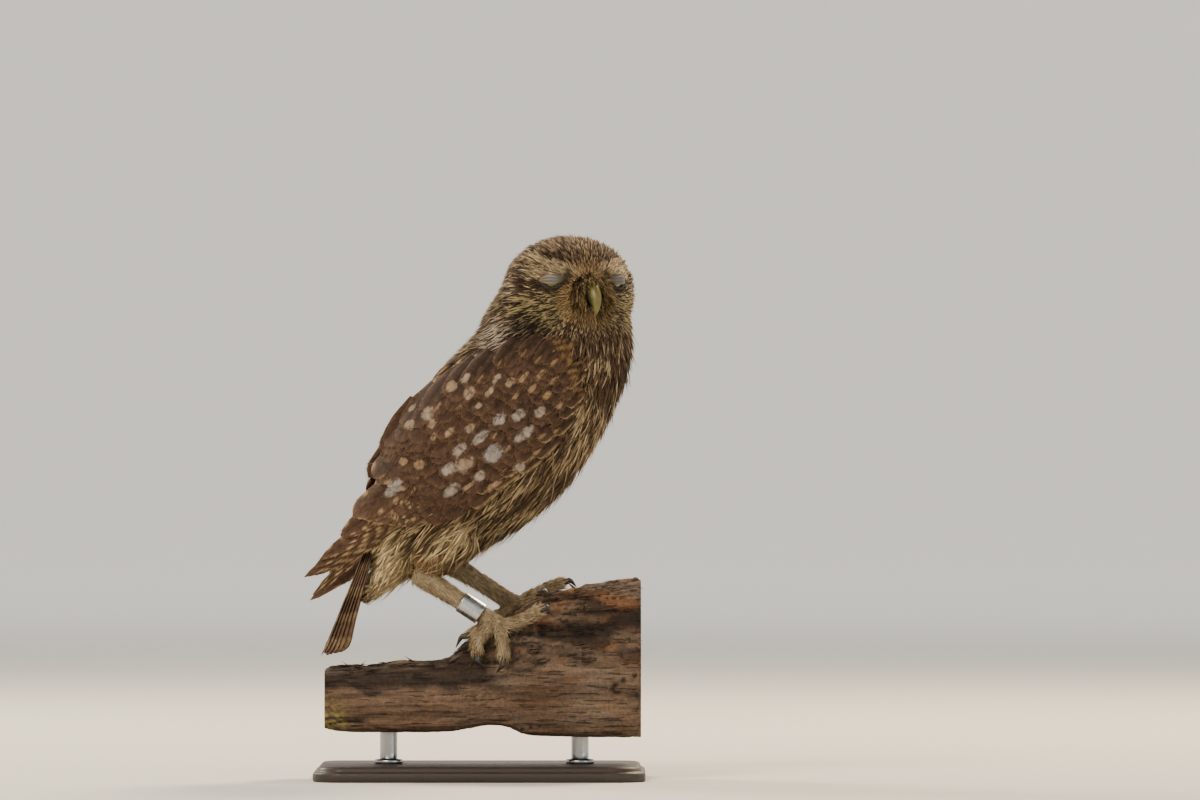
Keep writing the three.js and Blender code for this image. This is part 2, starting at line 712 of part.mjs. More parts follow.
// Puts the largest closed body of a solid into the model as a named mesh.
const owl = new THREE.Group();
owl.name = "little_owl";
function add(name, made, material) {
  const [kept] = made.decompose().sort((a, b) => b.volume() - a.volume());
  const { vertProperties, triVerts } = kept.getMesh();
  const geometry = new THREE.BufferGeometry();
  geometry.setAttribute("position", new THREE.BufferAttribute(vertProperties, 3));
  geometry.setIndex(new THREE.BufferAttribute(triVerts, 1));
  geometry.computeVertexNormals();
  const mesh = new THREE.Mesh(geometry, material);
  mesh.name = name;
  owl.add(mesh);
}
const without = (made, ...cutters) => cutters.reduce((left, cutter) => left.subtract(cutter), made);

// Head, neck and torso are one form, parted by two thin cuts across the neck.
const partings = {
  head: { at: v3(40, 0, 204.5), way: v3(0.2, 0, 0.98).normalize() },
  neck: { at: v3(30, 0, 186.5), way: v3(0.6, 0, 0.8).normalize() },
};
function body(grow = 0) {
  return formSolid(torsoForm, 15, 22, grow).add(headForm(24, 16, grow));
}
const above = (made, { at: p, way }) => made.trimByPlane(way.toArray(), way.dot(p) + gap / 2);
const below = (made, { at: p, way }) =>
  made.trimByPlane(way.clone().negate().toArray(), -way.dot(p) + gap / 2);

const eyeSockets = [-1, 1].map((hand) => ball(eyeCentre(hand), lidRadius + gap));
const upperBill = without(billSolid(billForm), nostril(-1), nostril(1));
const lowerBill = without(billSolid(lowerBillForm), billSolid(billForm, gap));
const whole = body();
const bills = [billSolid(billForm, gap), billSolid(lowerBillForm, gap)];
const head = without(above(whole, partings.head), ...eyeSockets, ...bills, gape(-1), gape(1));
add("head", head, plumage);
add("neck", above(below(whole, partings.head), partings.neck), plumage);

const vent = formSolid(ventForm, 6, 12);
const ventGrown = formSolid(ventForm, 6, 12, gap);
const thighs = Object.values(legs).map((leg) => thigh(leg, gap));
const shanks = Object.values(legs).map((leg) => shank(leg, gap));
add("torso", without(below(whole, partings.neck), ventGrown, ...thighs, ...shanks), breast);

// Parts that lie on the body are cut clear of it by the gap.
const bodyGrown = body(gap).add(ventGrown).add(thighs[0]).add(thighs[1]);
const tailSpace = tailRoom().add(tailPlug(gap));
add("tail", without(tail(), body(gap)), flight);
add("undertail_coverts", without(vent, ...thighs, tailSpace), breast);
add("wing_right", without(wing(-1), bodyGrown, tailSpace), flight);
add("wing_left", without(wing(1), bodyGrown, tailSpace), flight);

for (const [side, hand] of [["right", -1], ["left", 1]]) {
  const { upper, lower } = lids(hand);
  add(`eye_${side}`, ball(eyeCentre(hand), eyeRadius), iris);
  add(`eyelid_upper_${side}`, without(upper, billSolid(billForm, gap)), lidSkin);
  add(`eyelid_lower_${side}`, without(lower, billSolid(billForm, gap)), lidSkin);
}
add("bill_upper", upperBill, billHorn);
add("bill_lower", lowerBill, billHorn);

const grips = [];
for (const [side, leg] of Object.entries(legs)) {
  add(`thigh_${side}`, thigh(leg), legDown);
  add(`shank_${side}`, without(shank(leg), thigh(leg, gap)), legDown);
  add(`foot_${side}`, without(foot(leg), shank(leg, gap)), legDown);
  for (const name of Object.keys(leg.toes))
    add(`claw_${side}_${name}`, without(claw(leg, name), foot(leg, gap)), clawHorn);
  grips.push(foot(leg, gap), ...Object.keys(leg.toes).map((name) => claw(leg, name, gap)));
}
add("leg_ring", legRing(legs.right), ringMetal);

const rods = rod.at.map((x) => standRod(x, gap));
add("perch", without(rail(), ...grips, ...rods), wood);
add("stand_base", standBase(), standWood);
rod.at.forEach((x, i) => add(`stand_rod_${i + 1}`, standRod(x), rodMetal));

export default owl;
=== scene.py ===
from itertools import chain
import math
import bpy
import bmesh
import numpy as np
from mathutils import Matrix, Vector
from mathutils.bvhtree import BVHTree


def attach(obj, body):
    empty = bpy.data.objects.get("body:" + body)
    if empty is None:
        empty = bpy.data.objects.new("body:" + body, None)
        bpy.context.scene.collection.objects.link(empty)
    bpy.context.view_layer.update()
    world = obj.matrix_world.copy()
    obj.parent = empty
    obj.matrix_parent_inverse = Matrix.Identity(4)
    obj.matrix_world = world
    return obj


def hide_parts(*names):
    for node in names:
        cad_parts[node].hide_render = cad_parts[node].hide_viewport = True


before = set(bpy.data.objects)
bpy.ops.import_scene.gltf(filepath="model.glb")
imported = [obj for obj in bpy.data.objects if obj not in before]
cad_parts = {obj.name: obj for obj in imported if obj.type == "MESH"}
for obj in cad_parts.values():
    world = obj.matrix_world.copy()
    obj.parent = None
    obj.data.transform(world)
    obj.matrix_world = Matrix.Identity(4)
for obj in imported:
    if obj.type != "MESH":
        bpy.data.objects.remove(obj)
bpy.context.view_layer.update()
mm = 0.001
fullTurn = 2 * math.pi


# small helpers: every length is in millimetres until a mesh is made
def v3(x, y, z):
    return np.array([x, y, z], float)


def unit(v):
    v = np.asarray(v, float)
    return v / np.maximum(np.linalg.norm(v, axis=-1, keepdims=True), 1e-9)


def ease(low, high, x):
    t = np.clip((np.asarray(x, float) - low) / (high - low), 0, 1)
    return t * t * (3 - 2 * t)


def mix(a, b, t):
    t = np.asarray(t, float)
    if np.ndim(a) > 0 or np.ndim(b) > 0:
        t = t[..., None]
    return np.asarray(a, float) * (1 - t) + np.asarray(b, float) * t


def tone(text):  # a linear colour from a hex text
    raw = [int(text[i:i + 2], 16) / 255 for i in (0, 2, 4)]
    return np.array([c / 12.92 if c < 0.04045 else ((c + 0.055) / 1.055) ** 2.4 for c in raw])


def tones(**values):  # a piece's dictionary, with its hex texts made linear colours
    return {key: tone(value) if isinstance(value, str) else value for key, value in values.items()}


def table(t, rows):  # read off rows of place and value
    return np.interp(t, *np.array(rows, float).T)


def through(rows, t):  # a smooth row of numbers through the given rows, t from 0 to 1
    rows = np.asarray(rows, float)
    s = min(max(t, 0.0), 1.0) * (len(rows) - 1)
    i = int(min(math.floor(s), len(rows) - 2))
    f = s - i
    a, b, c, d = (rows[min(max(k, 0), len(rows) - 1)] for k in (i - 1, i, i + 1, i + 2))
    return b + 0.5 * f * (c - a + f * (2 * a - 5 * b + 4 * c - d + f * (3 * b - a - 3 * c + d)))


def drift(points, size, seed, stretch=1.0):
    # a soft random field of waves about size long, near -1 to 1, drawn out along x where stretch is below 1
    points = points * v3(stretch, 1, 1)
    draw = np.random.default_rng(seed)
    total = np.zeros(len(points))
    for _ in range(9):
        way = unit(draw.normal(size=3)) * (fullTurn / (size * draw.uniform(0.6, 1.7)))
        total += np.sin(points @ way + draw.uniform(0, fullTurn))
    return total / 3.2


def dots(a, b):  # a number for each row
    return np.sum(a * b, 1)


def flatten(ways, normals):  # ways laid on the surface
    return ways - dots(ways, normals)[:, None] * normals


def distance(points, spot, stretch=1.0):
    return np.linalg.norm((points - spot) * stretch, axis=1)


def toLine(points, a, b, last=1.0):  # share of the way from a to b, and distance from that place
    t = np.clip((points - a) @ (b - a) / ((b - a) @ (b - a)), 0, last)
    return t, np.linalg.norm(points - a - t[:, None] * (b - a), axis=1)


def around(count):  # turns in even steps
    return np.linspace(0, fullTurn, count, endpoint=False)


def smoothed(mesh):
    mesh.polygons.foreach_set("use_smooth", np.full(len(mesh.polygons), True))
    return mesh


def makeMesh(name, points, faces):  # points in millimetres
    mesh = bpy.data.meshes.new(name)
    sizes = np.array([len(f) for f in faces], np.int32)
    flat = np.fromiter(chain.from_iterable(faces), np.int32, int(sizes.sum()))
    mesh.vertices.add(len(points))
    mesh.loops.add(len(flat))
    mesh.loops.foreach_set("vertex_index", flat)
    mesh.polygons.add(len(sizes))
    mesh.polygons.foreach_set("loop_start", np.concatenate([[0], np.cumsum(sizes)[:-1]]).astype(np.int32))
    mesh.vertices.foreach_set("co", (np.asarray(points, np.float32) * mm).ravel())
    mesh.update(calc_edges=True)
    return smoothed(mesh)


def makePiece(name, mesh, material, slotName, *nodes):
    piece = bpy.data.objects.new(name, mesh)
    bpy.context.scene.collection.objects.link(piece)
    mesh.materials.clear()
    mesh.materials.append(material)
    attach(piece, "root")
    if nodes:
        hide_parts(*nodes)


def setValues(mesh, **fields):  # named values for each point: a colour, a number or a way
    for name, values in fields.items():
        values = np.asarray(values, np.float32)
        kind, part = ("FLOAT", "value") if values.ndim == 1 else ("FLOAT_VECTOR", "vector")
        if name in ("tone", "pale"):
            kind, part = "FLOAT_COLOR", "color"
            values = np.concatenate([values, np.ones((len(values), 1), np.float32)], 1)
        layer = mesh.attributes.get(name) or mesh.attributes.new(name, kind, "POINT")
        layer.data.foreach_set(part, values.ravel())


def paintOne(mesh, colour):  # one colour for the whole mesh
    setValues(mesh, tone=np.tile(colour, (len(mesh.vertices), 1)))
    return mesh


def getPoints(mesh):  # places and normals in millimetres
    points = np.zeros(len(mesh.vertices) * 3, np.float32)
    normals = np.zeros_like(points)
    mesh.vertices.foreach_get("co", points)
    mesh.vertices.foreach_get("normal", normals)
    return points.reshape(-1, 3).astype(float) / mm, normals.reshape(-1, 3).astype(float)


def setPoints(mesh, points):
    mesh.vertices.foreach_set("co", (np.asarray(points, np.float32) * mm).ravel())
    mesh.update()


def outward(mesh):
    bm = bmesh.new()
    bm.from_mesh(mesh)
    bmesh.ops.recalc_face_normals(bm, faces=bm.faces)
    bm.to_mesh(mesh)
    bm.free()
    mesh.update()
    return mesh


def loft(name, rings):  # a closed skin over rings of equal count, with a point at each end
    rings = np.asarray(rings, float)
    count, sides = rings.shape[:2]
    points = np.concatenate([rings.reshape(-1, 3), [rings[0].mean(0)], [rings[-1].mean(0)]])
    faces = []
    last = (count - 1) * sides
    for j in range(sides):
        k = (j + 1) % sides
        faces += [(i + j, i + k, i + sides + k, i + sides + j) for i in range(0, last, sides)]
        faces += [(k, j, last + sides), (last + j, last + k, last + sides + 1)]
    return outward(makeMesh(name, points, faces))


def strandFaces(rings, sides):  # triangles of a closed strand of rings that ends in one point
    pairs = [(k * sides + j, k * sides + (j + 1) % sides) for k in range(rings) for j in range(sides)]
    faces = [f for a, b in pairs[:-sides] for f in ((a, b, b + sides), (a, b + sides, a + sides))]
    faces += [(a, b, rings * sides) for a, b in pairs[-sides:]]
    return np.array(faces + [(0, j + 1, j) for j in range(sides - 2, 0, -1)])


def repeated(faces, count, step):  # the same faces for each of many like forms of step points
    return (faces[None] + (np.arange(count) * step)[:, None, None]).reshape(-1, faces.shape[1])


def bakeLayer(mesh, places):  # one place on the bake map for each of the mesh's points
    loops = np.zeros(len(mesh.loops), np.int32)
    mesh.loops.foreach_get("vertex_index", loops)
    layer = mesh.uv_layers.new(name="OFBake")
    layer.uv.foreach_set("vector", np.asarray(places)[loops].astype(np.float32).ravel())


def joined(name, meshes, merge=False):  # several meshes as one
    bm = bmesh.new()
    for mesh in meshes:
        bm.from_mesh(mesh)
    if merge:
        bmesh.ops.remove_doubles(bm, verts=bm.verts, dist=1e-6)
    made = bpy.data.meshes.new(name)
    bm.to_mesh(made)
    bm.free()
    return made


def heldWith(mesh, kind):  # an object that holds the mesh, and a new modifier on it
    holder = bpy.data.objects.new("holder", mesh)
    bpy.context.scene.collection.objects.link(holder)
    return holder, holder.modifiers.new("step", kind)


def evaluated(holder):  # the plain mesh that a holder's modifier makes
    bpy.context.view_layer.update()
    graph = bpy.context.evaluated_depsgraph_get()
    made = bpy.data.meshes.new_from_object(holder.evaluated_get(graph), depsgraph=graph)
    bpy.data.objects.remove(holder)
    return smoothed(made)


def remeshed(mesh, voxel, rounds=0):  # one closed skin round all that is in the mesh
    holder, step = heldWith(mesh, "REMESH")
    step.mode = "VOXEL"
    step.voxel_size = voxel * mm
    return relax(evaluated(holder), rounds)


def relax(mesh, rounds):  # evens out a skin
    points, _ = getPoints(mesh)
    edges = np.zeros(len(mesh.edges) * 2, np.int32)
    mesh.edges.foreach_get("vertices", edges)
    a, b = edges.reshape(-1, 2).T
    count = np.bincount(edges, minlength=len(points))[:, None]
    for _ in range(rounds):
        total = np.zeros_like(points)
        np.add.at(total, a, points[b])
        np.add.at(total, b, points[a])
        points += (total / np.maximum(count, 1) - points) * 0.5
    setPoints(mesh, points)
    return mesh


# the bird's own frame
headAt = v3(41, -2, 225)
headTurn = math.radians(23)
faceForward = v3(math.sin(headTurn), -math.cos(headTurn), 0)
faceSide = v3(math.cos(headTurn), math.sin(headTurn), 0)
eyeSpot = dict(forward=12.6, side=12.9, up=4.2, radius=7.6, gap=0.3)
hands = dict(right=-1, left=1)
# rows along the trunk and along the folded wings: x, z, half depth and half width
torsoForm = [
    (-54, 105, 5, 6), (-46, 109, 14, 16), (-33, 117.5, 25.5, 27), (-20, 128, 32, 33), (-6, 143, 38, 36),
    (8, 158, 40.5, 37.5), (20, 173, 39.5, 36.5), (31, 188, 37, 33.5), (36, 204, 36, 31), (38, 219, 31, 28),
    (41, 232, 21, 22),
]
wingForm = [
    (-88, 89, 3, 7), (-72, 100, 9, 9.5), (-56, 107.5, 19, 14.5), (-40, 115, 29, 24), (-22, 126, 35.5, 33),
    (-6, 142.5, 39.5, 37.5), (8, 158, 42, 39), (20, 173, 41, 38), (31, 188, 38.5, 35), (38, 204, 34, 31),
]


def makeLeg(hand, hip, heel, ankle, ball, **toes):
    # each toe: places along it, then its claw's middle and tip
    places = dict(hip=hip, heel=heel, ankle=ankle, ball=ball)
    made = {name: np.array(place, float) for name, place in places.items()}
    paths = {name: (np.array(path, float), np.array(claw, float)) for name, (path, claw) in toes.items()}
    return dict(made, hand=hand, toes=paths)


legs = dict(
    right=makeLeg(
        -1, (-10, -16, 114), (-27, -16, 94), (3, -17, 74.5), (7.5, -18, 71.5),
        inner=([(14, -22.3, 71.6), (20.7, -23.6, 74), (27, -23.4, 77.8)],
               [(31, -23.5, 79.5), (33.4, -23.3, 75.5)]),
        middle=([(9.5, -23.2, 68), (10.8, -25, 62), (11, -24.8, 57)],
                [(10.4, -25.4, 52.8), (7.8, -23.4, 49.6)]),
        outer=([(2.5, -23, 68), (-0.8, -25, 63.5), (-1, -24.9, 59)],
               [(-0.6, -25.6, 54.8), (2.6, -23.6, 51.4)]),
        hind=([(1, -15.5, 69), (-3.6, -14, 67)], [(-8.5, -13, 65.4), (-11, -12.5, 60.5)]),
    ),
    left=makeLeg(
        1, (-4, 15, 118), (-15.5, 13, 100), (13.5, 12.5, 81.5), (17, 12, 80),
        inner=([(20.5, 7.5, 82.2), (24.5, 3.5, 84.6)], [(29.5, 0.5, 86.6), (32.5, -1.2, 84)]),
        middle=([(25, 12.5, 84.3), (31.5, 12.5, 87.6), (37, 12.2, 89.8)], [(41.6, 12, 91), (44.4, 11.8, 88)]),
        outer=([(16, 18.5, 80.2), (15.5, 22.9, 77), (15, 24.8, 71)], [(14.8, 25.5, 66.6), (14.2, 23.2, 63)]),
        hind=([(11, 12.5, 76.5), (5.5, 12.5, 73)], [(1, 12.5, 71.4), (-2, 12.5, 67)]),
    ),
)


def onHead(forward, side, high):
    return headAt + faceForward * forward + faceSide * side + v3(0, 0, high)


def headFrame(points):  # forward, side and up of points round the head's middle
    d = points - headAt
    return d @ faceForward, d @ faceSide, d[:, 2]


def eyeCentre(hand):
    return onHead(eyeSpot["forward"], hand * eyeSpot["side"], eyeSpot["up"])


def formLine(form, count):  # middle, way to the head, way to the back, half depth and half width
    t = np.linspace(0, 1, count)
    rows = np.array([through(form, x) for x in t])
    ahead = np.array([through(form, x + 0.01) - through(form, x - 0.01) for x in t])
    flat = np.zeros(count)
    along = unit(np.stack([ahead[:, 0], flat, ahead[:, 1]], 1))
    back = np.stack([-along[:, 2], flat, along[:, 0]], 1)
    middle = np.stack([rows[:, 0], flat, rows[:, 1]], 1)
    return dict(middle=middle, along=along, back=back, deep=rows[:, 2], wide=rows[:, 3])


bodyLine = formLine(torsoForm, 120)


def nearest(line, points):
    flat = points * v3(1, 0, 1)
    return ((flat[:, None] - line["middle"][None]) ** 2).sum(-1).argmin(1)


def backOff(points):  # how far points lie towards the back from the trunk's middle line
    i = nearest(bodyLine, points)
    return dots(points - bodyLine["middle"][i], bodyLine["back"][i])


# camera: the photo's view, 0.46 mm a pixel over its 1200 pixels
shot = dict(centreX=55.2, centreZ=174.3, width=552.0, lens=300.0, sensor=36.0, farEnd=40)


def addCamera():
    data = bpy.data.cameras.new("camera")
    data.lens = shot["lens"]
    data.sensor_width = shot["sensor"]
    data.clip_end = shot["farEnd"]
    away = shot["width"] * shot["lens"] / shot["sensor"]
    camera = bpy.data.objects.new("camera", data)
    camera.location = (shot["centreX"] * mm, -away * mm, shot["centreZ"] * mm)
    camera.rotation_euler = (math.pi / 2, 0, 0)
    bpy.context.scene.collection.objects.link(camera)
    bpy.context.scene.camera = camera


addCamera()
print("camera set")


# materials
def node(tree, kind, ins=(), **settings):  # inputs by place or name: sockets are linked, other values set
    made = tree.nodes.new(kind)
    for key, value in settings.items():
        setattr(made, key, value)
    for key, value in ins.items() if isinstance(ins, dict) else enumerate(ins):
        feedOne(tree, made.inputs[key], value)
    return made


def feedOne(tree, socket, value):
    if isinstance(value, bpy.types.NodeSocket):
        tree.links.new(value, socket)
    else:
        socket.default_value = value


def feed(tree, made, **ins):  # the inputs of a node that is there already
    for key, value in ins.items():
        feedOne(tree, made.inputs[key.replace("_", " ")], value)


def maths(tree, operation, *ins, clamp=False):
    return node(tree, "ShaderNodeMath", ins, operation=operation, use_clamp=clamp).outputs[0]


def ranged(tree, value, fromLow, fromHigh, toLow, toHigh, kind="LINEAR"):
    ins = (value, fromLow, fromHigh, toLow, toHigh)
    return node(tree, "ShaderNodeMapRange", ins, interpolation_type=kind).outputs[0]


def scaled(tree, way, amount):
    return node(tree, "ShaderNodeVectorMath", {0: way, "Scale": amount}, operation="SCALE").outputs[0]


def length(tree, way):
    return node(tree, "ShaderNodeVectorMath", (way,), operation="LENGTH").outputs["Value"]


def noise(tree, place, scale, detail, roughness=0.5):
    ins = {"Vector": place, "Scale": scale, "Detail": detail, "Roughness": roughness}
    return node(tree, "ShaderNodeTexNoise", ins).outputs["Fac"]


def attribute(tree, name, output="Vector"):
    return node(tree, "ShaderNodeAttribute", attribute_name=name).outputs[output]


def objectPlace(tree):
    return node(tree, "ShaderNodeTexCoord").outputs["Object"]


def split(tree, way):
    return node(tree, "ShaderNodeSeparateXYZ", (way,)).outputs


def combined(tree, *ins):
    return node(tree, "ShaderNodeCombineXYZ", ins).outputs[0]


def bumped(tree, height, strength, deep):
    ins = {"Strength": strength, "Distance": deep, "Height": height}
    return node(tree, "ShaderNodeBump", ins).outputs["Normal"]


def addSocket(tree, label, kind, start=None, way="INPUT"):
    made = tree.interface.new_socket(label, in_out=way, socket_type=f"NodeSocket{kind}")
    if start is not None:
        made.default_value = start


def newMaterial(name, **ins):
    material = bpy.data.materials.new(name)
    material.use_nodes = True
    tree = material.node_tree
    feed(tree, tree.nodes["Principled BSDF"], **ins)
    return material, tree, tree.nodes["Principled BSDF"]


def barbGroup():  # fine barbs across a vane and a little patchy shade, for every feather
    tree = bpy.data.node_groups.new("barbs", "ShaderNodeTree")
    addSocket(tree, "Tone", "Color")
    addSocket(tree, "Depth", "Float", 0.25)
    addSocket(tree, "Fineness", "Float", 30)
    addSocket(tree, "Color", "Color", way="OUTPUT")
    addSocket(tree, "Height", "Float", way="OUTPUT")
    into = tree.nodes.new("NodeGroupInput").outputs
    along, across, own = split(tree, attribute(tree, "vane"))
    slant = maths(tree, "MULTIPLY_ADD", maths(tree, "ABSOLUTE", across), -0.22, along)
    place = combined(tree, maths(tree, "MULTIPLY", slant, into["Fineness"]), across, own)
    strands = noise(tree, place, 1.6, 2.0, 0.6)
    patches = noise(tree, objectPlace(tree), 420.0, 3.0)
    spread = ranged(tree, maths(tree, "ADD", strands, patches), 0.7, 1.3, -1.0, 1.0)
    shade = scaled(tree, into["Tone"], maths(tree, "MULTIPLY_ADD", spread, into["Depth"], 1.0))
    node(tree, "NodeGroupOutput", (shade, strands))
    return tree


barbs = barbGroup()


def featherMaterial(name, roughness, depth, fineness, bump, spotted=False):
    shine = 0.1 if spotted else 0.22
    material, tree, shader = newMaterial(name, Roughness=roughness, Specular_IOR_Level=shine)
    colour = attribute(tree, "tone", "Color")
    if spotted:
        colour = addSpots(tree, colour)
    fine = node(tree, "ShaderNodeGroup", (), node_tree=barbs)
    feed(tree, fine, Tone=colour, Depth=depth, Fineness=fineness)
    normal = bumped(tree, fine.outputs["Height"], bump, 0.0004)
    feed(tree, shader, Base_Color=fine.outputs["Color"], Normal=normal)
    return material


def addSpots(tree, colour):
    # each vane carries where its nearest pale spot lies (spot) and that spot's colour (pale)
    x, y, strong = split(tree, attribute(tree, "spot"))
    ragged = maths(tree, "MULTIPLY_ADD", noise(tree, objectPlace(tree), 480.0, 3.0), 1.1,
                   length(tree, combined(tree, x, y)))
    inside = ranged(tree, ragged, 1.8, 1.25, 0.0, 1.0, "SMOOTHSTEP")
    share = maths(tree, "MULTIPLY", inside, strong, clamp=True)
    # a spot fades towards the feather's root
    fade = ranged(tree, split(tree, attribute(tree, "vane"))["X"], 0.35, 0.8, 0.35, 1.1, "SMOOTHSTEP")
    faded = maths(tree, "MULTIPLY", share, fade, clamp=True)
    ins = {"Factor": faded, 6: colour, 7: attribute(tree, "pale", "Color")}
    return node(tree, "ShaderNodeMix", ins, data_type="RGBA").outputs[2]


def simpleMaterial(name, roughness, scale, depth, bump, coat=0.0, metallic=0.0):
    # colour from the piece's own tone, broken up by a fine noise that also gives the bump
    material, tree, shader = newMaterial(name, Metallic=metallic, Coat_Weight=coat, Coat_Roughness=0.12)
    grain = noise(tree, objectPlace(tree), scale, 4.0, 0.6)
    amount = ranged(tree, grain, 0.3, 0.7, 1 - depth, 1 + depth)
    shade = scaled(tree, attribute(tree, "tone", "Color"), amount)
    rough = ranged(tree, grain, 0.3, 0.7, roughness * 0.8, roughness * 1.2)
    feed(tree, shader, Base_Color=shade, Roughness=rough, Normal=bumped(tree, grain, bump, 0.0002))
    return material


coatFinish = featherMaterial("coat_feather", 0.72, 0.3, 26.0, 0.35)
vaneFinish = featherMaterial("vane_feather", 0.8, 0.42, 60.0, 0.6, spotted=True)
print("feather materials made")


# folded wings and tail: every vane is its own thin closed blade
wing = tones(
    wrist=v3(47.4, 0, 176.6), along=v3(-0.84, 0, -0.5426), up=v3(-0.5426, 0, 0.84), shoulder=v3(33, 0, 182),
    droop=math.radians(3.5), slide=5.0,
    dark="2c211a", brown="4b382c", warm="66503f", buff="94764f", white="837c77", cream="a8936c",
    rust="7d5b33",
)
wingLine = formLine(wingForm, 400)
noSpot = [9.0, 9.0, 0.0]


def sideWidth(points):
    i = nearest(wingLine, points)
    off = ((points - wingLine["middle"][i]) * wingLine["back"][i] * v3(1, 0, 1)).sum(1)
    reach = np.where(off > 0, wingLine["deep"][i], np.maximum(wingLine["deep"][i], 22))
    share = np.clip(off / reach, -0.95, 0.975)
    return wingLine["wide"][i] * np.sqrt(1 - share ** 2)


def onWing(along, up, lift):  # points on the left wing's outer surface
    flat = wing["wrist"] + along[:, None] * wing["along"] + up[:, None] * wing["up"]
    step, steepest = 2.5, 1.6
    slopes = []
    for way in (v3(step, 0, 0), v3(0, 0, step)):
        slope = (sideWidth(flat + way) - sideWidth(flat - way)) / (2 * step)
        slopes.append(np.clip(-slope, -steepest, steepest))
    y = sideWidth(flat)
    normal = unit(np.stack([slopes[0], np.ones(len(y)), slopes[1]], 1))
    return np.stack([flat[:, 0], y, flat[:, 2]], 1) + normal * lift[:, None]


def placeWing(hand):
    def place(along, up, lift):
        p = onWing(along, up, lift) - wing["shoulder"]
        if hand > 0:  # the far wing lies lower and further back
            p = p + wing["along"] * wing["slide"]
            c, s = math.cos(-wing["droop"]), math.sin(-wing["droop"])
            p = np.stack([p[:, 0] * c + p[:, 2] * s, p[:, 1], -p[:, 0] * s + p[:, 2] * c], 1)
        return (p + wing["shoulder"]) * v3(1, hand, 1)
    return place


outlines = dict(  # share of the widest at places from root to tip
    round=[(0, 0.6), (0.4, 0.95), (0.75, 1), (0.88, 0.9), (0.95, 0.68), (0.985, 0.38), (1, 0.05)],
    short=[(0, 0.7), (0.45, 1), (0.75, 0.98), (0.89, 0.8), (0.96, 0.55), (1, 0.08)],
    long=[(0, 0.6), (0.35, 1), (0.66, 0.95), (0.85, 0.7), (0.95, 0.4), (1, 0.05)],
    tail=[(0, 0.7), (0.5, 0.95), (0.9, 1), (0.965, 0.78), (1, 0.15)],
)


def makeVane(**values):  # a vane's sizes, places and marks; values not given are these
    return {**dict(tilt=0.0, camber=0.5, bow=0, rim=0.6, front=0, edge=0, bars=None), **values}


def bladePoints(place, vane, rows, cols):
    t = np.linspace(0, 1, rows) ** 0.85
    share = table(t, outlines[vane["outline"]])
    s = np.linspace(-1, 1, cols)
    run = vane["tip"] - vane["root"]
    side = np.array([-run[1], run[0]]) / np.linalg.norm(run)
    bow = vane["bow"] * np.sin(math.pi * t)
    mid = vane["root"] + run * t[:, None] + side * bow[:, None]
    half = 0.5 * vane["wide"] * share
    flat = mid[:, None] + side * (half[:, None] * s)[..., None]
    lift = mix(*vane["lift"], t)[:, None] - vane["tilt"] * share[:, None] * s
    lift = lift + vane["camber"] * (1 - s ** 2) * share[:, None]
    ripple = 0.12 * np.sin(9 * s + 14 * t[:, None] + vane["draw"] * 20) * (np.abs(s) > 0.3)
    lift = lift + ripple
    deep = mix(0.36, 0.16, t)[:, None] * (1 - 0.6 * s ** 2)
    a, u = flat[..., 0].ravel(), flat[..., 1].ravel()
    both = [place(a, u, lift.ravel()), place(a, u, (lift - deep).ravel())]
    return both, np.repeat(t, cols), np.tile(s, rows), flat.reshape(-1, 2)


def gridFaces(rows, cols, flip=False):  # a top, its underside and the rim between them
    i, j = np.meshgrid(np.arange(rows - 1), np.arange(cols - 1), indexing="ij")
    a = (i * cols + j).ravel()
    quads = np.stack([a, a + 1, a + cols + 1, a + cols], 1)
    count = rows * cols
    edge = np.concatenate([np.arange(cols), np.arange(2 * cols - 1, count, cols),
                           np.arange(count - 2, count - cols - 1, -1), np.arange(count - 2 * cols, 0, -cols)])
    after = np.roll(edge, -1)
    rim = np.stack([after, edge, edge + count, after + count], 1)
    faces = np.concatenate([quads, quads[:, ::-1] + count, rim])
    return faces[:, ::-1] if flip else faces


def mapCell(cell, cells, t, s):  # a vane's own cell on the bake map, its underside beside its top
    v = 0.86 * (cell // cells + 0.04 + 0.92 * t) / cells
    starts = [cell % cells + 0.03 + 0.44 * (s * 0.5 + 0.5) + 0.5 * half for half in (0, 1)]
    return [np.stack([u / cells, v], 1) for u in starts]


def bladeMesh(name, place, vanes, flip, rows, cols, spots=(), cell=0, cells=14):
    points, maps, fields = [], [], dict(vane=[], spot=[], pale=[], tone=[])
    for index, vane in enumerate(vanes):
        both, t, s, flat = bladePoints(place, vane, rows, cols)
        points += both
        maps += mapCell(cell + index, cells, t, s)
        field, pale = spotField(flat, spots)
        shade = vaneTone(vane, t, s, flat)
        fields["vane"] += [np.stack([t, s, np.full(len(t), vane["draw"] * 50)], 1)] * 2
        fields["spot"] += [field] * 2
        fields["pale"] += [pale] * 2
        fields["tone"] += [shade, shade * 1.15]
    faces = repeated(gridFaces(rows, cols, flip), len(vanes), 2 * rows * cols)
    mesh = makeMesh(name, np.concatenate(points), faces)
    setValues(mesh, **{key: np.concatenate(values) for key, values in fields.items()})
    bakeLayer(mesh, np.concatenate(maps))
    return mesh


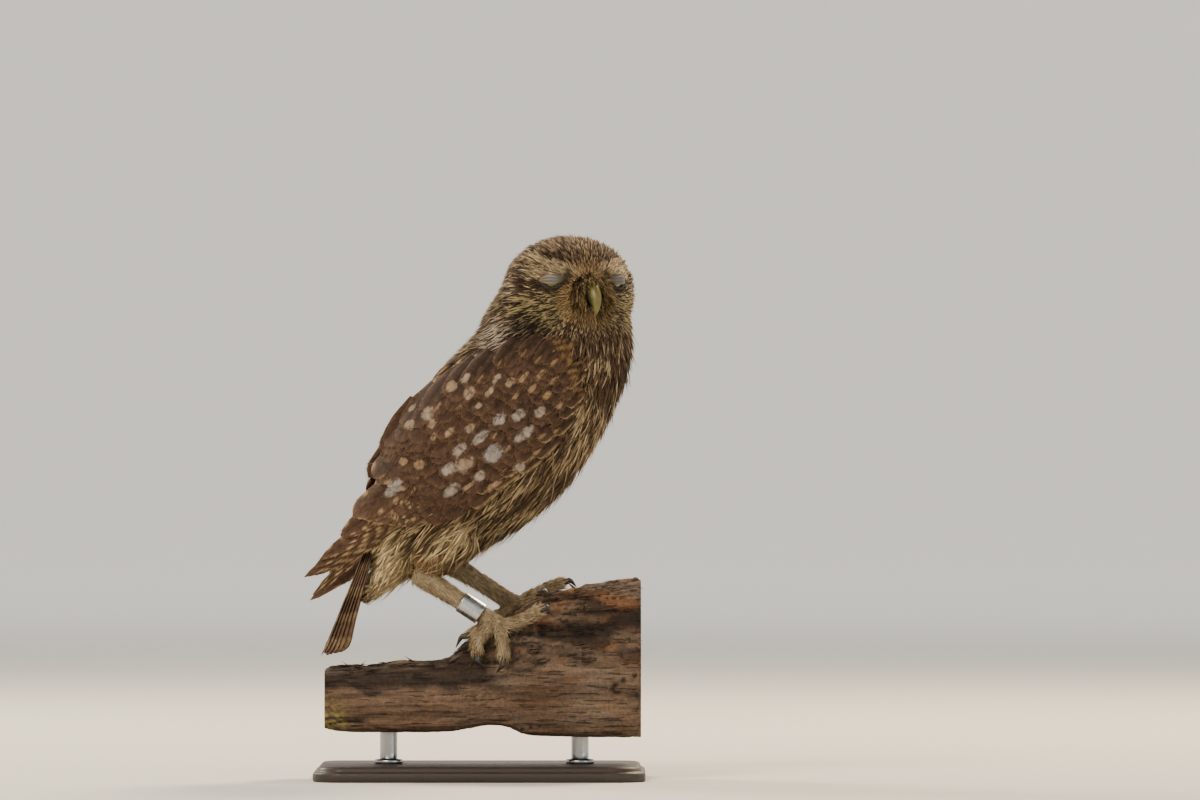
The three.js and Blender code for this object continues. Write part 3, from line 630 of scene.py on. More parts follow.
def spotField(flat, spots):  # place within the nearest pale spot, below 1 being inside, and its colour
    if not len(spots):
        return np.tile(noSpot, (len(flat), 1)), np.tile(wing["buff"], (len(flat), 1))
    along, up, long, wide, pale, strong = np.array(spots, float).T
    run = unit(np.stack([np.ones(len(spots)), laneSlope(up)], 1))
    d = flat[:, None] - np.stack([along, up], 1)
    x = (d * run).sum(-1) / (long * 1.05)
    y = (d[..., 1] * run[:, 0] - d[..., 0] * run[:, 1]) / (wide * 0.86)
    away = np.hypot(x, y)
    best = away.argmin(1)
    pick = (np.arange(len(flat)), best)
    grow = np.where(away[pick] > 1.7, 2.5, 1.0)
    field = np.stack([np.abs(x[pick]) * grow, np.abs(y[pick]) * grow, strong[best]], 1)
    return field, mix(wing["buff"], wing["white"], pale[best])


def vaneTone(vane, t, s, flat):
    off = np.abs(s)
    base = mix(wing["dark"], wing["brown"], 0.35 + 0.4 * ease(0.15, 0.9, t) + 0.5 * (vane["draw"] - 0.5))
    base = mix(base, wing["dark"] * 0.75, ease(0.6, 0.1, off) * ease(0.95, 0.6, t) * 0.55)
    rim = ease(0.66, 1.0, off) * 0.55 + ease(0.88, 1.0, t) * 0.55
    base = mix(base, wing["warm"], np.clip(rim * vane["rim"] * 1.3, 0, 1))
    base = mix(base, wing["dark"] * 0.5, ease(0.08, 0.02, off) * 0.4)
    if vane["front"]:  # the rusty mottle along the leading edge
        patch = drift(np.stack([flat[:, 0] * 0.5, flat[:, 1], 0 * t], 1), 1.9, 44)
        rusty = ease(-0.1, 0.25, patch) * ease(5, 0, flat[:, 0] + 0.15 * flat[:, 1]) * vane["front"]
        base = mix(base, mix(wing["rust"], wing["cream"], 0.4 * ease(0.3, 0.9, patch)), 0.5 * rusty)
    pale = ease(0.8, 0.95, -s) * ease(0.15, 0.4, t) * vane["edge"]  # the thin pale line of the lowest row
    base = mix(base, wing["cream"], 0.8 * pale)
    if vane["bars"]:  # pale marks on the vane's edges, in steps to the tip
        count, start, reach, colour = vane["bars"]
        wave = np.sin((t * count + start) * fullTurn + 0.5 * off)
        mask = ease(0.35, 0.65, wave) * ease(reach, reach + 0.25, off) * ease(0.1, 0.3, t)
        base = mix(base, tone(colour), 0.85 * mask)
    return base


def laneSlope(up):  # how far the feathers run down as they run back
    share = np.clip((np.asarray(up) + 8) / 50, 0, 1)
    return -0.04 - 0.42 * share ** 1.3


def fringeMesh(place, vanes, flip, spots, seed, first=0):  # loose barbs on the edges of every vane
    draw = np.random.default_rng(seed)
    parts = []
    for vane in vanes:
        count = int(14 + 1.5 * vane["wide"])
        u = draw.uniform(0.55, 1.0, count)
        sign = draw.choice([-1.0, 1.0], count)
        share = table(u, outlines[vane["outline"]])
        whole = vane["tip"] - vane["root"]
        run = unit(whole)
        side = np.array([-run[1], run[0]])
        off = np.where(u > 0.9, draw.uniform(-1, 1, count), sign) * 0.93
        start = vane["root"] + whole * (u * 0.985)[:, None]
        start = start + side * (off * 0.5 * vane["wide"] * share)[:, None]
        lift = mix(*vane["lift"], u) - vane["tilt"] * share * off + 0.05
        colour = vaneTone({**vane, "edge": 0}, u, off, start) * draw.uniform(0.8, 1.35, count)[:, None]
        parts.append((start, np.tile(run, (count, 1)), side * off[:, None], lift, colour))
    start, run, out, lift, colour = (np.concatenate(part) for part in zip(*parts))
    count = len(start)
    way = unit(run + out * draw.uniform(0.15, 0.6, (count, 1)) + draw.normal(0, 0.12, (count, 2)))
    cross = np.stack([-way[:, 1], way[:, 0]], 1)
    long, wide = draw.uniform(1.3, 2.8, count), draw.uniform(0.2, 0.38, count)
    tipRise = draw.uniform(-0.1, 0.35, count)
    rings = []
    for t, thick, rise in ((-0.6, 0.7, -0.12), (0.35, 1.0, 0.1), (1.0, 0.12, tipRise)):
        for a, b in ((-0.5, 0), (0.5, 0), (0, -0.5)):
            spot = start + way * (long * t)[:, None] + cross * (wide * thick * a)[:, None]
            rings.append(place(spot[:, 0], spot[:, 1], lift + rise + wide * thick * b))
    size = len(rings)
    pairs = [(3 * k + j, 3 * k + (j + 1) % 3) for k in range(2) for j in range(3)]
    shapes = np.array([(a, b, b + 3, a + 3) for a, b in pairs]), np.array([(2, 1, 0), (6, 7, 8)])
    faces = [repeated(shape[:, ::-1] if flip else shape, count, size).tolist() for shape in shapes]
    mesh = makeMesh("fringe", np.stack(rings, 1).reshape(-1, 3), faces[0] + faces[1])
    own = np.stack([draw.random(count), 0 * long, 0 * long], 1)
    field, pale = spotField(start, spots)
    fields = dict(vane=own, spot=field, pale=pale, tone=colour)
    setValues(mesh, **{key: np.repeat(values, size, 0) for key, values in fields.items()})
    order = first + np.repeat(np.arange(count), size)
    corner = np.tile([[a, b] for b in (0, 0.5, 1) for a in (0, 0.5, 1)], (count, 1))
    bakeLayer(mesh, np.stack([order % 250 / 250, 0.866 + order // 250 / 300], 1) + 0.003 * corner)
    return mesh


tiers = [  # flight feathers from the lowest layer up: each tier's first and last
    dict(count=8, root=[(70, -6), (76, 7)], tip=[(134, -3.5), (128, 6)], longest=(20, 0), wide=(7.5, 11),
         lift=[(-3.4, -3.2), (-0.6, 0.3)], outline="long", tilt=0, bars=(9, 0.1, 0.55, "96805f"), rim=1.0),
    dict(count=12, root=[(56, -8), (64, 14)], tip=[(99, -4.5), (117, 10)], longest=(3, 0), wide=(9, 12),
         lift=[(-1.4, 0.0), (-1.2, 0.5)], outline="round", tilt=0.6, bars=(6, 0.3, 0.6, "8f7a5c"), rim=1.0),
    dict(count=5, root=[(54, 12), (62, 28)], tip=[(94, 9), (103, 20)], longest=(0, 0), wide=(11, 12),
         lift=[(-1.2, 0.6), (-1.2, 0.8)], outline="round", tilt=0.6, bars=(4, 0.55, 0.5, "8f765c"), rim=0.6),
]
coverts = dict(
    front=-9.0, back=70.0, step=5.2, apart=5.4, wide=9.6, small=0.62, long=(12.5, 21.0), sink=-1.3, rise=0.75,
    low=[(-9, 9), (-4, 3), (4, -4), (16, -9), (34, -12), (54, -12.5), (70, -9)],
    high=[(-9, 27), (0, 35), (12, 41), (34, 44.5), (56, 44), (70, 40)],
)
# pale spots of the near wing: along, up, half length, half width, paleness from 0 buff to 1 white
wingSpots = [
    (14, 8.8, 2.5, 1.7, 0.1), (20.9, 4.2, 2.9, 2.3, 0.75), (24.8, 22.7, 2.7, 1.9, 0.4),
    (26.4, 16, 2.1, 1.1, 0.2), (28.8, 27.4, 2.5, 1.5, 0.6), (29.8, 8.1, 3, 2.7, 0.8),
    (32.5, -0.3, 5.2, 2.4, 0.85), (34.8, 24.2, 3.1, 1.7, 0.5), (37.8, 11.3, 3.2, 2.6, 0.95),
    (40.8, 35.2, 2.7, 1.9, 0.6), (42.1, -11.7, 2.9, 2.3, 0.7), (42.5, 21.5, 1.9, 1.5, 0.55),
    (42.9, 28.5, 2.9, 2.5, 0.5), (48.2, 35.6, 2.7, 2.7, 0.35), (48.7, -0.3, 4.6, 4.2, 1),
    (49.5, 9, 4.8, 2.2, 0.85), (51.5, 15.2, 2.1, 2.3, 0.5), (56.5, -12.4, 4.5, 1.5, 0.3),
    (59.4, -5.4, 2.7, 2.5, 0.75), (60.4, 18.5, 2.5, 1.7, 0.45), (60.6, 9.6, 3.3, 2.4, 0.8),
    (62.7, 2.5, 4.6, 3.4, 0.5), (64.2, 31.1, 3.1, 2.7, 0.6), (64.7, 25.7, 2.3, 1.7, 0.4),
    (67.3, 20.5, 1.9, 1.7, 0.3), (68.9, 37.5, 2.3, 1.5, 0.6), (69.6, 5, 3.5, 2.4, 0.9),
    (73.7, -3.8, 3.8, 2.6, 0.85), (73.9, 31, 2.5, 2.3, 0.5), (79.9, 13.6, 2.3, 2.7, 0.25),
    (85.1, 18.8, 1.9, 2.3, 0.2), (95.6, 10.9, 4.7, 3, 0.95),
]


def tierVanes(tier, draws):
    root, tip, lift = (np.array(tier[key], float) for key in ("root", "tip", "lift"))
    made = []
    for t in np.arange(tier["count"]) / (tier["count"] - 1):
        draw = draws.random(4)
        end = mix(*tip, t) + np.array(tier["longest"]) * math.sin(math.pi * min(1.0, t + 0.25))
        made.append(makeVane(
            root=mix(*root, t), tip=end + (draw[:2] - 0.5) * [3.4, 1.0],
            wide=mix(*tier["wide"], t) * (0.95 + 0.1 * draw[2]), lift=mix(*lift, t) + 0.25 * (draw[3] - 0.5),
            camber=0.5 if tier["tilt"] else 0.2, bow=0.6, draw=draw[0],
            **{key: tier[key] for key in ("tilt", "outline", "bars", "rim")},
        ))
    return made


def covertVanes(draws):  # rows of coverts and scapulars, each row set between the feathers of the last
    made = []
    for row, along in enumerate(np.arange(coverts["back"], coverts["front"], -coverts["step"])):
        low, high = table(along, coverts["low"]), table(along, coverts["high"])
        size = coverts["small"] + (1 - coverts["small"]) * ease(-8, 30, along)
        count = int(round((high - low) / (coverts["apart"] * size))) + 1
        for i in range(count):
            draw = draws.random(5)
            up = low + (high - low) * (i + 0.5 * (row % 2)) / count + (draw[0] - 0.5) * 1.6
            root = np.array([along + (draw[1] - 0.5) * 3.6, up])
            short, long = coverts["long"]
            long = (short + (long - short) * ease(-6, 52, along)) * (0.9 + 0.2 * draw[2])
            long = long * (1 + 0.22 * ease(0.55, 0.9, (up - low) / (high - low)))
            run = unit([1.0, laneSlope(up) + (draw[3] - 0.5) * 0.14])
            made.append(makeVane(
                root=root, tip=root + run * long, wide=coverts["wide"] * size * (0.9 + 0.25 * draw[4]),
                lift=(coverts["sink"], coverts["rise"] + 0.5 * (draw[2] - 0.5)), tilt=0.3, outline="short",
                rim=0.7, draw=draw[0], camber=0.4, bow=0.5, front=float(ease(8, 0, along)),
                edge=float(i == 0 and along < 52),
            ))
    return made


def wingVanes(seed):
    draws = np.random.default_rng(seed)
    flight = [vane for tier in tiers for vane in tierVanes(tier, draws)]
    cover = covertVanes(draws)
    spots = [(*spot, 0.6 + 0.4 * spot[4]) for spot in wingSpots]
    for vane in cover:  # small dull spots between the larger ones
        centre = vane["root"] + (vane["tip"] - vane["root"]) * 0.82
        clear = min(math.hypot(centre[0] - spot[0], centre[1] - spot[1]) for spot in spots)
        own = vane["draw"]
        if clear > 6.0 and own > 0.2 and 3 < centre[0] < 66:
            small = 0.8 + 0.9 * own
            spots.append((*centre, 2.1 * small, 0.75 * small, 0.25 * own, 0.25 + 0.4 * own))
    return flight, cover, spots


# the wing's own flesh under its feathers: along, lowest and highest
wingPlate = [
    (0.5, 0, 8), (6, -5, 24), (18, -8.5, 37), (36, -10.5, 44.5), (56, -9.5, 44.5), (72, -7, 38), (88, -3, 25),
]


def plateMesh(place, flip, cell, cells, rows=30, cols=16):
    edge = np.array([through(wingPlate, x) for x in np.linspace(0, 1, rows)])
    j = np.linspace(0, 1, cols)
    up = (edge[:, 1:2] + (edge[:, 2:3] - edge[:, 1:2]) * j).ravel()
    along = np.repeat(edge[:, 0], cols)
    bulge = np.tile(np.sin(math.pi * j) ** 0.5, rows)
    points = [place(along, up, bulge - 2.4), place(along, up, np.full(len(along), -6.0))]
    mesh = paintOne(makeMesh("plate", np.concatenate(points), gridFaces(rows, cols, flip)), wing["dark"])
    flat = np.zeros((len(mesh.vertices), 3))
    field, pale = spotField(flat, ())
    setValues(mesh, vane=flat, spot=field, pale=pale)
    t, s = np.repeat(np.linspace(0, 1, rows), cols), np.tile(np.linspace(-1, 1, cols), rows)
    bakeLayer(mesh, np.concatenate(mapCell(cell, cells, t, s)))
    return mesh


def addWing(side, hand):
    place, flip = placeWing(hand), hand < 0
    flight, cover, spots = wingVanes(7 if flip else 8)
    last = len(flight) + len(cover)
    cells = math.ceil(math.sqrt(last + 1))
    mesh = joined(f"folded_wing_{side}", [
        bladeMesh("flight", place, flight, flip, 40, 11, spots, 0, cells),
        bladeMesh("cover", place, cover, flip, 13, 7, spots, len(flight), cells),
        fringeMesh(place, flight + cover, flip, spots, 70 + hand),
        plateMesh(place, flip, last, cells),
    ])
    print(f"wing {side}: {len(mesh.polygons)} faces")
    makePiece(mesh.name, mesh, vaneFinish, "flight_feathers", f"wing_{side}")


tailFan = dict(
    root=v3(-44.6, 0, 126), way=v3(-0.38, 0, -0.925), under=v3(0.925, 0, -0.38), long=75.0,
    spread=math.radians(7), arch=3.4, wide=12.0, count=12, apart=0.7, bars=(5.5, 0.2, 0.3, "6c5942"),
)


def onTail(along, across, lift):
    arch = tailFan["arch"] * np.abs(across / 12) ** 2 * np.clip(along / tailFan["long"], 0.3, 1)
    spot = tailFan["root"] + along[:, None] * tailFan["way"] + (arch - lift)[:, None] * tailFan["under"]
    return spot + across[:, None] * v3(0, 1, 0)


def addTail():
    vanes = []
    draws = np.random.default_rng(21)
    last = tailFan["count"] - 1
    for i in range(tailFan["count"]):
        share = 2 * i / last - 1
        fan = tailFan["spread"] * share
        under = -tailFan["apart"] * (abs(share) * last - 1) * 0.5 - (0.12 if share > 0 else 0)
        long = tailFan["long"] - 6 - 3.5 * share * share - 1.5 * draws.random()
        root = np.array([6, share * 5])
        tip = root + long * np.array([math.cos(fan), math.sin(fan)])
        vane = makeVane(root=root, tip=tip, wide=tailFan["wide"], lift=(under, under), outline="tail",
                        bars=tailFan["bars"], rim=1.0, draw=draws.random(), camber=0.0)
        vanes.append(bladeMesh("vane", onTail, [vane], False, 40, 9, cell=i, cells=4))
        vanes.append(fringeMesh(onTail, [vane], False, (), 300 + i, 60 * i))
    makePiece("tail_fan", joined("tail_fan", vanes), vaneFinish, "flight_feathers", "tail")


for side, hand in hands.items():
    addWing(side, hand)
addTail()
print("wings and tail made")


# the body's skin, inside the solids by the depth of the coat
skin = dict(
    voxel=1.5, headDepth=1.3, bodyDepth=2.2, rounds=10,
    flesh=("head", "neck", "torso", "thigh_right", "thigh_left", "undertail_coverts"),
    closed=("eyelid_upper_right", "eyelid_lower_right", "eyelid_upper_left", "eyelid_lower_left",
            "bill_upper", "bill_lower"),
)
billRoot = onHead(25, 0, -2)
billMiddle = onHead(27, 0, -4)
straightUp = v3(0, 0, 1)


def thighShare(points):  # 1 on the thighs, 0 on the trunk
    share = np.zeros(len(points))
    for leg in legs.values():
        t, away = toLine(points, leg["hip"], leg["heel"], 1.2)
        reach = table(t, [(0, 13), (0.55, 11.5), (1, 6.5)])
        share = np.maximum(share, ease(1.12, 0.95, away / reach) * ease(0.12, 0.4, t))
    return share


def headShare(points):  # 1 on the head, 0 below the neck
    return ease(196, 209, points[:, 2] - 0.15 * (points[:, 0] - 40))


def lieAt(points):  # the way that feathers point, before it is laid flat on the skin
    f, _, _ = headFrame(points)
    away = unit(points - billRoot)
    behind = ease(6, -16, f)[:, None]
    headWay = unit(away * (1 - behind) + (v3(-0.35, 0, -0.94) - 0.5 * faceForward) * behind)
    i = nearest(bodyLine, points)
    off = dots(points - bodyLine["middle"][i], bodyLine["back"][i])
    chest = ease(0, 1, -off / 30)[:, None]
    trunk = unit(-bodyLine["along"][i] + chest * v3(-0.25, 0, -0.1))
    low = ease(122, 104, points[:, 2])[:, None]
    trunk = unit(trunk * (1 - low) + v3(-0.6, 0, -0.8) * low)
    legWay = np.zeros_like(points)
    for leg in legs.values():
        way = unit(leg["heel"] - leg["hip"])
        legWay = np.where((np.sign(points[:, 1]) == leg["hand"])[:, None], way, legWay)
    onLeg, onTop = thighShare(points)[:, None], headShare(points)[:, None]
    way = trunk * (1 - onTop) + headWay * onTop
    return unit(way * (1 - onLeg) + legWay * onLeg)


def eyeNear(points):  # distance from the nearer eye's middle
    return np.minimum(*[distance(points, eyeCentre(hand)) for hand in hands.values()])


def eyeAxes(hand):  # look, side towards the bill and up of one eye, the slit lying along side
    look = unit(faceForward + hand * 0.62 * faceSide)
    lidUp = unit(straightUp - 0.16 * look)
    side = unit(np.cross(lidUp, look)) * -hand
    side = side * np.sign(side @ faceSide * -hand)
    return unit(look - (look @ lidUp) * lidUp), side, lidUp


def makeSkin(*closed):  # the skin, its eyes and bill closed over by the nodes named here
    solids = joined("solids", [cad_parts[name].data for name in (*skin["flesh"], *closed)], merge=True)
    mesh = relax(remeshed(solids, skin["voxel"]), skin["rounds"])
    points, normals = getPoints(mesh)
    depth = skin["headDepth"] + (skin["bodyDepth"] - skin["headDepth"]) * ease(214, 196, points[:, 2])
    if closed:
        depth = depth * ease(8.5, 12.5, eyeNear(points)) * ease(7.5, 11, distance(points, billMiddle))
    points = points - normals * depth[:, None]
    if closed:  # just outside the lids
        reach = eyeSpot["radius"] + eyeSpot["gap"] + 0.95
        for hand in hands.values():
            d = points - eyeCentre(hand)
            away = np.linalg.norm(d, axis=1)
            low = (away < reach) & (d @ eyeAxes(hand)[0] > 1)
            points[low] = eyeCentre(hand) + d[low] / away[low][:, None] * reach
    setPoints(mesh, points)
    return mesh


bodySkin = makeSkin()
# the coat grows on the same skin with the lids and the bill's root closed over
skinMesh = makeSkin(*skin["closed"])
skinPoints, skinNormals = getPoints(skinMesh)
skinFaces = [tuple(f.vertices) for f in skinMesh.polygons]
skinTree = BVHTree.FromPolygons([tuple(p) for p in skinPoints], skinFaces, all_triangles=False)
faceNormals = np.array([skinNormals[list(f)].mean(0) for f in skinFaces])


def onSkin(points):  # the nearest places on the skin and the skin's normals there
    places, normals = np.empty_like(points), np.empty_like(points)
    for i, p in enumerate(points):
        hit, _, face, _ = skinTree.find_nearest(p)
        places[i] = hit
        normals[i] = faceNormals[face]
    return places, unit(normals)


def byPlace(rule, points):  # one number for each point, from a function of places or one number for all
    return rule(points) if callable(rule) else np.full(len(points), float(rule))


def spread(area, spacing, seed, tries=3.2):  # even random places on the skin where spacing says so
    draw = np.random.default_rng(seed)
    tris = np.array([t for f in skinFaces for t in ((f[0], f[1], f[2]), (f[0], f[2], f[-1]))])
    corner = skinPoints[tris]
    middle = corner.mean(1)
    gapAt = byPlace(spacing, middle)
    size = 0.5 * np.linalg.norm(np.cross(corner[:, 1] - corner[:, 0], corner[:, 2] - corner[:, 0]), axis=1)
    which = np.repeat(np.arange(len(tris)), draw.poisson(size * area(middle) / gapAt ** 2 * tries))
    which = which[draw.permutation(len(which))]
    a, b = draw.random(len(which)), draw.random(len(which))
    flip = a + b > 1
    a[flip], b[flip] = 1 - a[flip], 1 - b[flip]
    c = corner[which]
    points = c[:, 0] + a[:, None] * (c[:, 1] - c[:, 0]) + b[:, None] * (c[:, 2] - c[:, 0])
    apart = gapAt[which] * 0.8
    cell = max(float(apart.max()), 0.3)
    steps = [(x, y, z) for x in (-1, 0, 1) for y in (-1, 0, 1) for z in (-1, 0, 1)]
    taken, kept = {}, []
    rows = zip(points.tolist(), np.floor(points / cell).astype(int).tolist(), (apart ** 2).tolist())
    for number, ((x, y, z), (i, j, k), least) in enumerate(rows):
        near = (q for u, v, w in steps for q in taken.get((i + u, j + v, k + w), ()))
        if all((x - q[0]) ** 2 + (y - q[1]) ** 2 + (z - q[2]) ** 2 >= least for q in near):
            taken.setdefault((i, j, k), []).append((x, y, z))
            kept.append(number)
    return points[kept]


# plumage: the colours, and what grows where with its length, width and lift
shades = tones(
    root="21170f", dark="33251a", brown="5c4431", tan="8f7152", buff="b8976a", cream="dec9a0", white="ddd2c0",
    rufous="6f5536", olive="a39468", rusty="93664b",
)
slit = dict(drop=0.3, sag=3.0, wide=8.4, open=1.45, half=4.8, bareHigh=5.3, bareIn=7.4, bareOut=6.6)


def crownMask(points):
    return headShare(points) * ease(6, 14, headFrame(points)[2])


def bandOverEye(points, high, soft, sides):  # 1 on a band over each eye that rises to the side
    f, s, h = headFrame(points)
    off = np.abs(s)
    line = high + 0.42 * (off - 8)
    return ease(*soft, np.abs(h - line)) * ease(3, 7, off) * ease(*sides, off) * ease(-1, 5, f)


def slitDrop(x):  # how far below the eye's middle the slit lies
    return slit["drop"] + slit["sag"] * (1 - np.clip(np.abs(x) / slit["wide"], 0, 1) ** 2)


def slitFrame(points, hand):  # places along the slit, towards the bill, and above it
    look, side, high = eyeAxes(hand)
    d = points - eyeCentre(hand)
    x = d @ side
    return x, d @ high + slitDrop(x), d @ look


def lensAt(x):  # how much of its greatest height the lids' bare lens keeps along the slit
    return np.clip(1 - np.where(x > 0, x / slit["bareIn"], x / slit["bareOut"]) ** 2, 0, 1)


def atBothEyes(mask, points):  # the greater of a mask's two values, one for each eye
    return np.maximum(*[mask(*slitFrame(points, hand)) for hand in hands.values()])


def bareLid(points, soft=0.0):  # 1 on the bare lens of the lids
    def mask(x, y, z):
        arc = lensAt(x)
        inside = np.minimum(slit["bareHigh"] * arc - y, y + (slit["open"] + 0.7) * arc)
        near = ease(-soft, 0, inside) if soft else (inside > 0).astype(float)
        return (z > 2) * (arc > 0) * near
    return atBothEyes(mask, points)


def rimMask(x, y, z):  # the pale feathered rim close round the bare lids
    return ease(6.6, 4.8, np.hypot(x * 0.5, y - 2.6)) * (z > 0) * ease(-1.6, 0.2, y)


def lashMask(x, y, z):  # the dark small feathers under the lids, in the corner by the bill and behind the eye
    under = ease(1.9, 0.9, np.abs(y + slit["open"] * lensAt(x) + 1.0)) * ease(9.5, 7, np.abs(x))
    corner = ease(3.6, 1.6, np.hypot(x - 8.2, (y - 0.4) * 0.8))
    behind = 0.75 * ease(1.0, 0.4, np.hypot((x + 12.5) / 5.5, (y - 2.0) / 2.6))
    return np.maximum(behind, np.maximum(under, corner)) * (z > -3)


def bristleMask(points):  # the rufous and buff bristles round the bill
    return ease(17, 9, distance(points, billRoot))


def streaks(points):  # dark streaks of the breast and belly, drawn out along the lie
    way, across = v3(-0.7, 0, -0.714), v3(0.714, 0, -0.7)
    q = np.stack([points @ way * 0.17, points @ across, points[:, 1]], 1)
    return drift(q, 6.8, 40) + 0.45 * drift(q, 3.4, 41)


def headTone(root, t, first, second, third):  # dark roots, brown middles and pale tips
    h = headFrame(root)[2]
    tipShare = ease(0.45, 0.8, t) * ease(0.4, 0.78, first)
    paleTip = mix(shades["tan"], shades["cream"], second)
    paleTip = mix(paleTip, shades["rusty"], 0.5 * crownMask(root) * third)
    ground = mix(shades["root"], shades["brown"], ease(0.25, 0.9, t) * (0.15 + 0.6 * third))
    made = mix(ground, paleTip, tipShare)
    cheek = ease(26, 18, eyeNear(root)) * ease(2, -6, h) * ease(4, 9, distance(root, billRoot))
    fine = mix(shades["root"] * 1.2, shades["olive"] * 1.2, ease(0.42, 0.6, first) * (0.35 + 0.65 * t))
    made = mix(made, fine, 0.8 * cheek)
    shadow = ease(9, 4, distance(root, onHead(12, -22, -17), v3(0.6, 0.6, 1)))
    made = made * (1 - 0.6 * shadow)[:, None]
    warm = mix(shades["rufous"], shades["buff"], second)
    made = mix(made, warm * (0.5 + 0.55 * t)[:, None], 0.7 * bristleMask(root))
    brow = mix(shades["tan"], shades["cream"], 0.2 + 0.8 * second) * (0.45 + 0.6 * t)[:, None]
    brow = mix(brow, shades["dark"], 0.8 * ease(0.3, 0.12, first))
    pale = np.maximum(bandOverEye(root, 8.6, (2.6, 1.2), (25, 20)), 0.9 * atBothEyes(rimMask, root))
    made = mix(made, brow, 0.9 * pale)
    dark = np.maximum(atBothEyes(lashMask, root), 0.6 * bandOverEye(root, 12.4, (1.7, 0.6), (24, 18)))
    made = mix(made, shades["root"], 0.85 * dark)
    return made * (1 - 0.15 * crownMask(root) * (1 - tipShare))[:, None]


def bellyTone(root, t, s, first, second, third):  # pale strands broken by broad dark streaks
    high = ease(175, 195, root[:, 2])
    dark = ease(-0.5, -0.12, streaks(root) + 0.4 * (first - 0.5) + 0.45 * high)
    low = ease(150, 118, root[:, 2])
    vent = ease(-24, -36, root[:, 0] + 0.3 * (root[:, 2] - 110))
    pale = mix(mix(shades["tan"], shades["cream"], 0.15 + 0.55 * second), shades["olive"], 0.35 * low) * 0.88
    stripe = mix(shades["root"], shades["brown"], 0.1 + 0.6 * third)
    edge = ease(0.6, 1.0, np.abs(s)) * 0.2 + ease(0.82, 1.0, t) * 0.35
    stripe = mix(stripe, pale, edge * (0.3 + 0.7 * second))
    made = mix(pale * (0.55 + 0.5 * ease(0, 0.6, t))[:, None], stripe, dark * (1 - 0.55 * vent))
    ventTone = mix(shades["cream"], shades["buff"], 0.5 * second) * (0.7 + 0.35 * t)[:, None]
    return mix(made, ventTone, 0.92 * vent)


def bodyTone(root, t, s, draw):
    # colour of a tuft's point: root place, share of its length, place across it, and its own three draws
    first, second, third = draw.T
    # back of neck and mantle: brown, with pale marks near the tip
    mark = ease(0.5, 0.7, t) * ease(0.98, 0.86, t) * ease(0.9, 0.4, np.abs(s)) * ease(0.35, 0.6, first)
    backTone = mix(mix(shades["dark"], shades["brown"], 0.3 + 0.6 * t), shades["buff"], 0.8 * mark)
    made = mix(bellyTone(root, t, s, first, second, third), backTone, backShare(root))
    made = mix(made, headTone(root, t, first, second, third), headShare(root))
    # the whitish patch at the side of the nape
    patch = ease(11, 5, distance(root, v3(10, -24, 206), v3(1, 0.6, 1.2)))
    nape = mix(shades["white"], shades["tan"], 0.5 * second) * (0.6 + 0.45 * t)[:, None]
    made = mix(made, nape, 0.8 * patch * ease(0.4, 0.6, first))
    legTone = mix(shades["tan"], shades["buff"], second) * (0.5 + 0.5 * t)[:, None]
    made = mix(made, legTone, 0.85 * thighShare(root))
    return made * (0.85 + 0.3 * third)[:, None]


def backShare(points):  # 1 on the back of the neck and the mantle
    return ease(0.0, 0.35, backOff(points) / 30)


def underWing(points):  # 1 where a folded wing hides the body
    d = points - wing["wrist"]
    along, up = d @ wing["along"], d @ wing["up"]
    low, high = (table(along, [(row[0], row[k]) for row in wingPlate]) for k in (1, 2))
    inside = (along > 5) & (along < 84) & (up > low + 5) & (up < high - 4)
    return (inside & (np.abs(points[:, 1]) > 12)).astype(float)


def addSkin():
    places, _ = getPoints(bodySkin)
    mid = np.full(len(places), 0.5)
    colour = bodyTone(places, mid * 0.5, mid * 0, np.stack([mid, mid, mid], 1))
    colour = mix(colour, shades["rufous"] * 0.55, 0.8 * bristleMask(places))
    setValues(bodySkin, tone=colour * 0.8, vane=np.stack([mid * 0, mid * 0, mid], 1))
    makePiece("body_skin", bodySkin, coatFinish, "plumage", *skin["flesh"])


addSkin()
print("skin made,", len(skinPoints), "points")


# coat: tufts that follow the skin along the lie
tuftForms = dict(  # section: across and height, and widths from root to tip
    hair=dict(section=[(-1, 0), (0, 0.55), (1, 0)], widths=[0.75, 1.0, 0.62]),
    strand=dict(section=[(-1, 0), (0, 0.4), (1, 0)], widths=[0.7, 1.0, 0.9, 0.55]),
    leaf=dict(section=[(-1, 0), (-0.45, 0.3), (0.45, 0.3), (1, 0), (0, -0.1)],
              widths=[0.6, 0.9, 1.0, 0.95, 0.62]),
)


